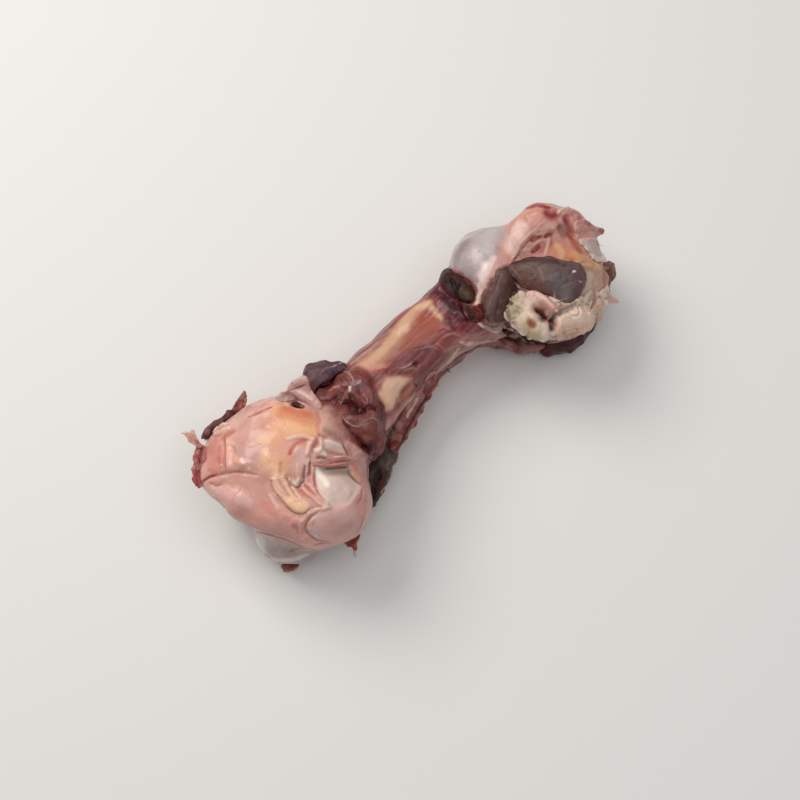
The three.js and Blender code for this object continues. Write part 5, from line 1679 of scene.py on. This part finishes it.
centred = add(shred_tree, "ShaderNodeVectorMath", centring, operation="SUBTRACT")
bend = {0: centred.outputs[0], "Scale": 2.0 * MM}
bending = add(shred_tree, "ShaderNodeVectorMath", bend, operation="SCALE")
moved = {"Geometry": real.outputs[0], "Offset": bending.outputs[0]}
bent = add(shred_tree, "GeometryNodeSetPosition", moved)
paint = {"Geometry": bent.outputs[0], "Material": MATERIALS["red_meat"]}
red = add(shred_tree, "GeometryNodeSetMaterial", paint)
add(shred_tree, "NodeGroupOutput", {"Geometry": red.outputs[0]})


def line_mesh(name, points):
    """A mesh of edges through points in millimetres."""
    mesh = bpy.data.meshes.new(name)
    mesh.from_pydata([p * MM for p in points], [(i, i + 1) for i in range(len(points) - 1)], [])
    return mesh


def fringe(name, surface, pixels, sink, values, colour, tip_colour):
    """Shreds along pixels of a surface, rooted `sink` millimetres inside it."""
    rooted = np.array([surface.cast(p) for p in curve_through(path(pixels), 3)]) - sink * TO_CAMERA
    piece = run_tree(new_piece(name, line_mesh(name, rooted)), shred_tree, values)
    skin = Surface(piece, colour)
    skin.mottle(tip_colour, 2.5, 0.6, seed=221)
    return skin


SHAFT_EDGE = "402,440 412,426 420,412 430,396 440,380 450,368"
COLLAR_EDGE = "352,446 362,449 373,447"
LOWER_RIGHT = RIGHT - UP
SHAFT_FORM = {"Count": 120, "Outward": tuple(LOWER_RIGHT - 0.6 * TO_CAMERA), "Length": 3.4 * MM, "Seed": 5}
COLLAR_FORM = {"Count": 26, "Outward": tuple(-UP), "Length": 2.4 * MM, "Seed": 6}
FRINGES = [
    fringe("shaft_edge_shreds", bone, SHAFT_EDGE, 1.5, SHAFT_FORM, "#743432", "#96655d"),
    fringe("collar_edge_shreds", collar, COLLAR_EDGE, 1.0, COLLAR_FORM, "#4d2423", "#331515"),
]
for surface in FRINGES:
    surface.store()
print("shreds:", sum(len(s.points) for s in FRINGES), "points")

# %% [markdown]
# White threads of sinew cross the gaps between the scraps. Each is a curve laid over the flesh with
# a round bevel, thinner at its ends, and turned into a mesh. Curves are the short way to a strand,
# where a stroke on the surface would be too flat.

# %% White threads
THREADS = [
    # the surface that it lies on, its pixels, its radius and its height over the flesh, and how
    # often its depth is evened out where it runs off the flesh's edge
    (bone, "311,455 309,463 308,470 305,478 300,484", 0.4, 0.1, 0),
    (bone, "300,478 299,484 295,486.5 291,483 291,478", 0.5, 0.2, 0),
    (collar, "339,408 341,415 347,421 354,426 360,427", 0.14, 0.05, 0),
    (collar, "366,420 373,418 378,423 378,434", 0.12, 0.05, 0),
    (collar, "343,371 349,374 353,380", 0.12, 0.05, 0),
    (bone, "399,396 401,404 398,413", 0.2, 0.1, 0),
    (bone, "398,371 406,367 414,362", 0.2, 0.2, 0),
    (bone, "425,381 429,375 434,372 436,377 433,383", 0.35, 0.5, 0),
    (bone, "462,349 474,344 486,341", 0.3, 0.1, 0),
    (side, "371,506 377,498 383,489 389,479 394,469 398,456", 0.6, 0.3, 60),
    (side, "398,456 399,444 397,432", 0.3, 0.2, 60),
    (cap, "555,293 555,300 557,308", 0.2, 0.1, 0),
    (shoulder, "337,364 341,362 345,364", 0.12, 0.2, 0),
]


def tubes(name, rows):
    """A mesh piece of tapered tubes along rows like those of THREADS."""
    curves = bpy.data.curves.new(name + "_paths", "CURVE")
    curves.dimensions = "3D"
    curves.bevel_depth = MM
    curves.bevel_resolution = 2
    curves.use_fill_caps = True
    for surface, pixels, radius, lift, evening in rows:
        strand = np.array([surface.cast(p) for p in curve_through(path(pixels), 2)]) + lift * TO_CAMERA
        depth = strand @ TO_CAMERA
        even = depth.copy()
        for _ in range(evening):
            even[1:-1] = (even[:-2] + 2 * even[1:-1] + even[2:]) / 4
        strand += (even - depth)[:, None] * TO_CAMERA
        spline = curves.splines.new("POLY")
        spline.points.add(len(strand) - 1)
        for i, (point, place) in enumerate(zip(spline.points, strand)):
            point.co = (*(place * MM), 1)
            point.radius = radius * (0.35 + 0.65 * math.sin(math.pi * (i + 0.5) / len(strand)))
    paths = new_piece(name + "_paths", curves)
    mesh = result_of(paths)
    bpy.data.objects.remove(paths)
    return new_piece(name, mesh)


threads = Surface(tubes("white_threads", THREADS), "#b7968d")
threads.mottle(FILM, 2, 0.6, seed=231)
threads.store()
print("threads:", len(THREADS))

# %% [markdown]
# Each piece now rides on the body "root", which is the whole object, and gets the material of its
# slot.

# %% Fit the pieces to the frame
STANDS_FOR = [
    (bone, "bone", "gristle"),
    (collar, "collar_meat", "red_meat"),
    (shoulder, "shoulder_meat", "dark_meat"),
    (side, "side_meat", "dark_meat"),
    (far, "far_meat", "red_meat"),
    (neck, "neck_meat", "dark_meat"),
    (strap, "strap_meat", "dark_meat"),
    (cap, "cap_meat", "dark_meat"),
    (fat, "fat_cluster", "fat"),
    (under, "under_meat", "red_meat"),
    *SINEWS,
    *LEAF_PIECES,
]


def finish_piece(piece, slot):
    """Gives a piece the material of its slot, and its body."""
    piece.data.materials.clear()
    piece.data.materials.append(MATERIALS[slot])
    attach(piece, "root")


for surface, node, slot in STANDS_FOR:
    finish_piece(surface.piece, slot)
    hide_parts(node)
for surfaces, slot in ((FRINGES, "red_meat"), ([*FILMS, threads], "sinew"), (DARK_FILMS, "dark_meat")):
    for surface in surfaces:
        finish_piece(surface.piece, slot)
print("pieces:", len(STANDS_FOR) + len(FRINGES) + len(FILMS) + len(DARK_FILMS) + 1)

# %% [markdown]
# The light is that of a bright kitchen: a wide soft source from the upper left of the picture, and a
# pale room that fills the shadows. A small strong lamp would make hard glints, which the wet
# surfaces of the photograph don't have. The floor is plain and pale.

# %% Floor and light
FLOOR_HALF = 3.0
corners = [(x * FLOOR_HALF, y * FLOOR_HALF, 0) for x, y in ((-1, -1), (1, -1), (1, 1), (-1, 1))]
floor_mesh = bpy.data.meshes.new("floor")
floor_mesh.from_pydata(corners, [], [(0, 1, 2, 3)])
floor = new_piece("floor", floor_mesh)
floor_paint = bpy.data.materials.new("matt white paper")
floor_paint.use_nodes = True
paper = floor_paint.node_tree.nodes["Principled BSDF"]
paper.inputs["Base Color"].default_value = (*linear("#e4e2df"), 1)
paper.inputs["Roughness"].default_value = 0.9
floor.data.materials.append(floor_paint)

world = bpy.data.worlds.new("pale room")
bpy.context.scene.world = world
world.use_nodes = True
world.node_tree.nodes["Background"].inputs["Color"].default_value = (*linear("#f2f4f7"), 1)
world.node_tree.nodes["Background"].inputs["Strength"].default_value = 0.34


def lamp(name, place, width, power, tint):
    """A square area light that shines at the bone."""
    light = bpy.data.lights.new(name, "AREA")
    light.size = width
    light.energy = power
    light.color = linear(tint)
    holder = bpy.data.objects.new(name, light)
    holder.location = place * MM
    holder.rotation_euler = Vector(place - TARGET).to_track_quat("Z", "Y").to_euler()
    bpy.context.scene.collection.objects.link(holder)


UPWARD = np.array([0.0, 0.0, 1.0])
BACK = np.cross(UPWARD, RIGHT)
WINDOW = TARGET - 650 * RIGHT + 550 * BACK + 900 * UPWARD
CEILING = TARGET + 200 * RIGHT - 100 * BACK + 1300 * UPWARD
lamp("window", WINDOW, width=0.7, power=9.5, tint="#fffaf4")
lamp("ceiling", CEILING, width=1.2, power=6, tint="#ffffff")
bpy.context.scene.view_settings.view_transform = "Standard"
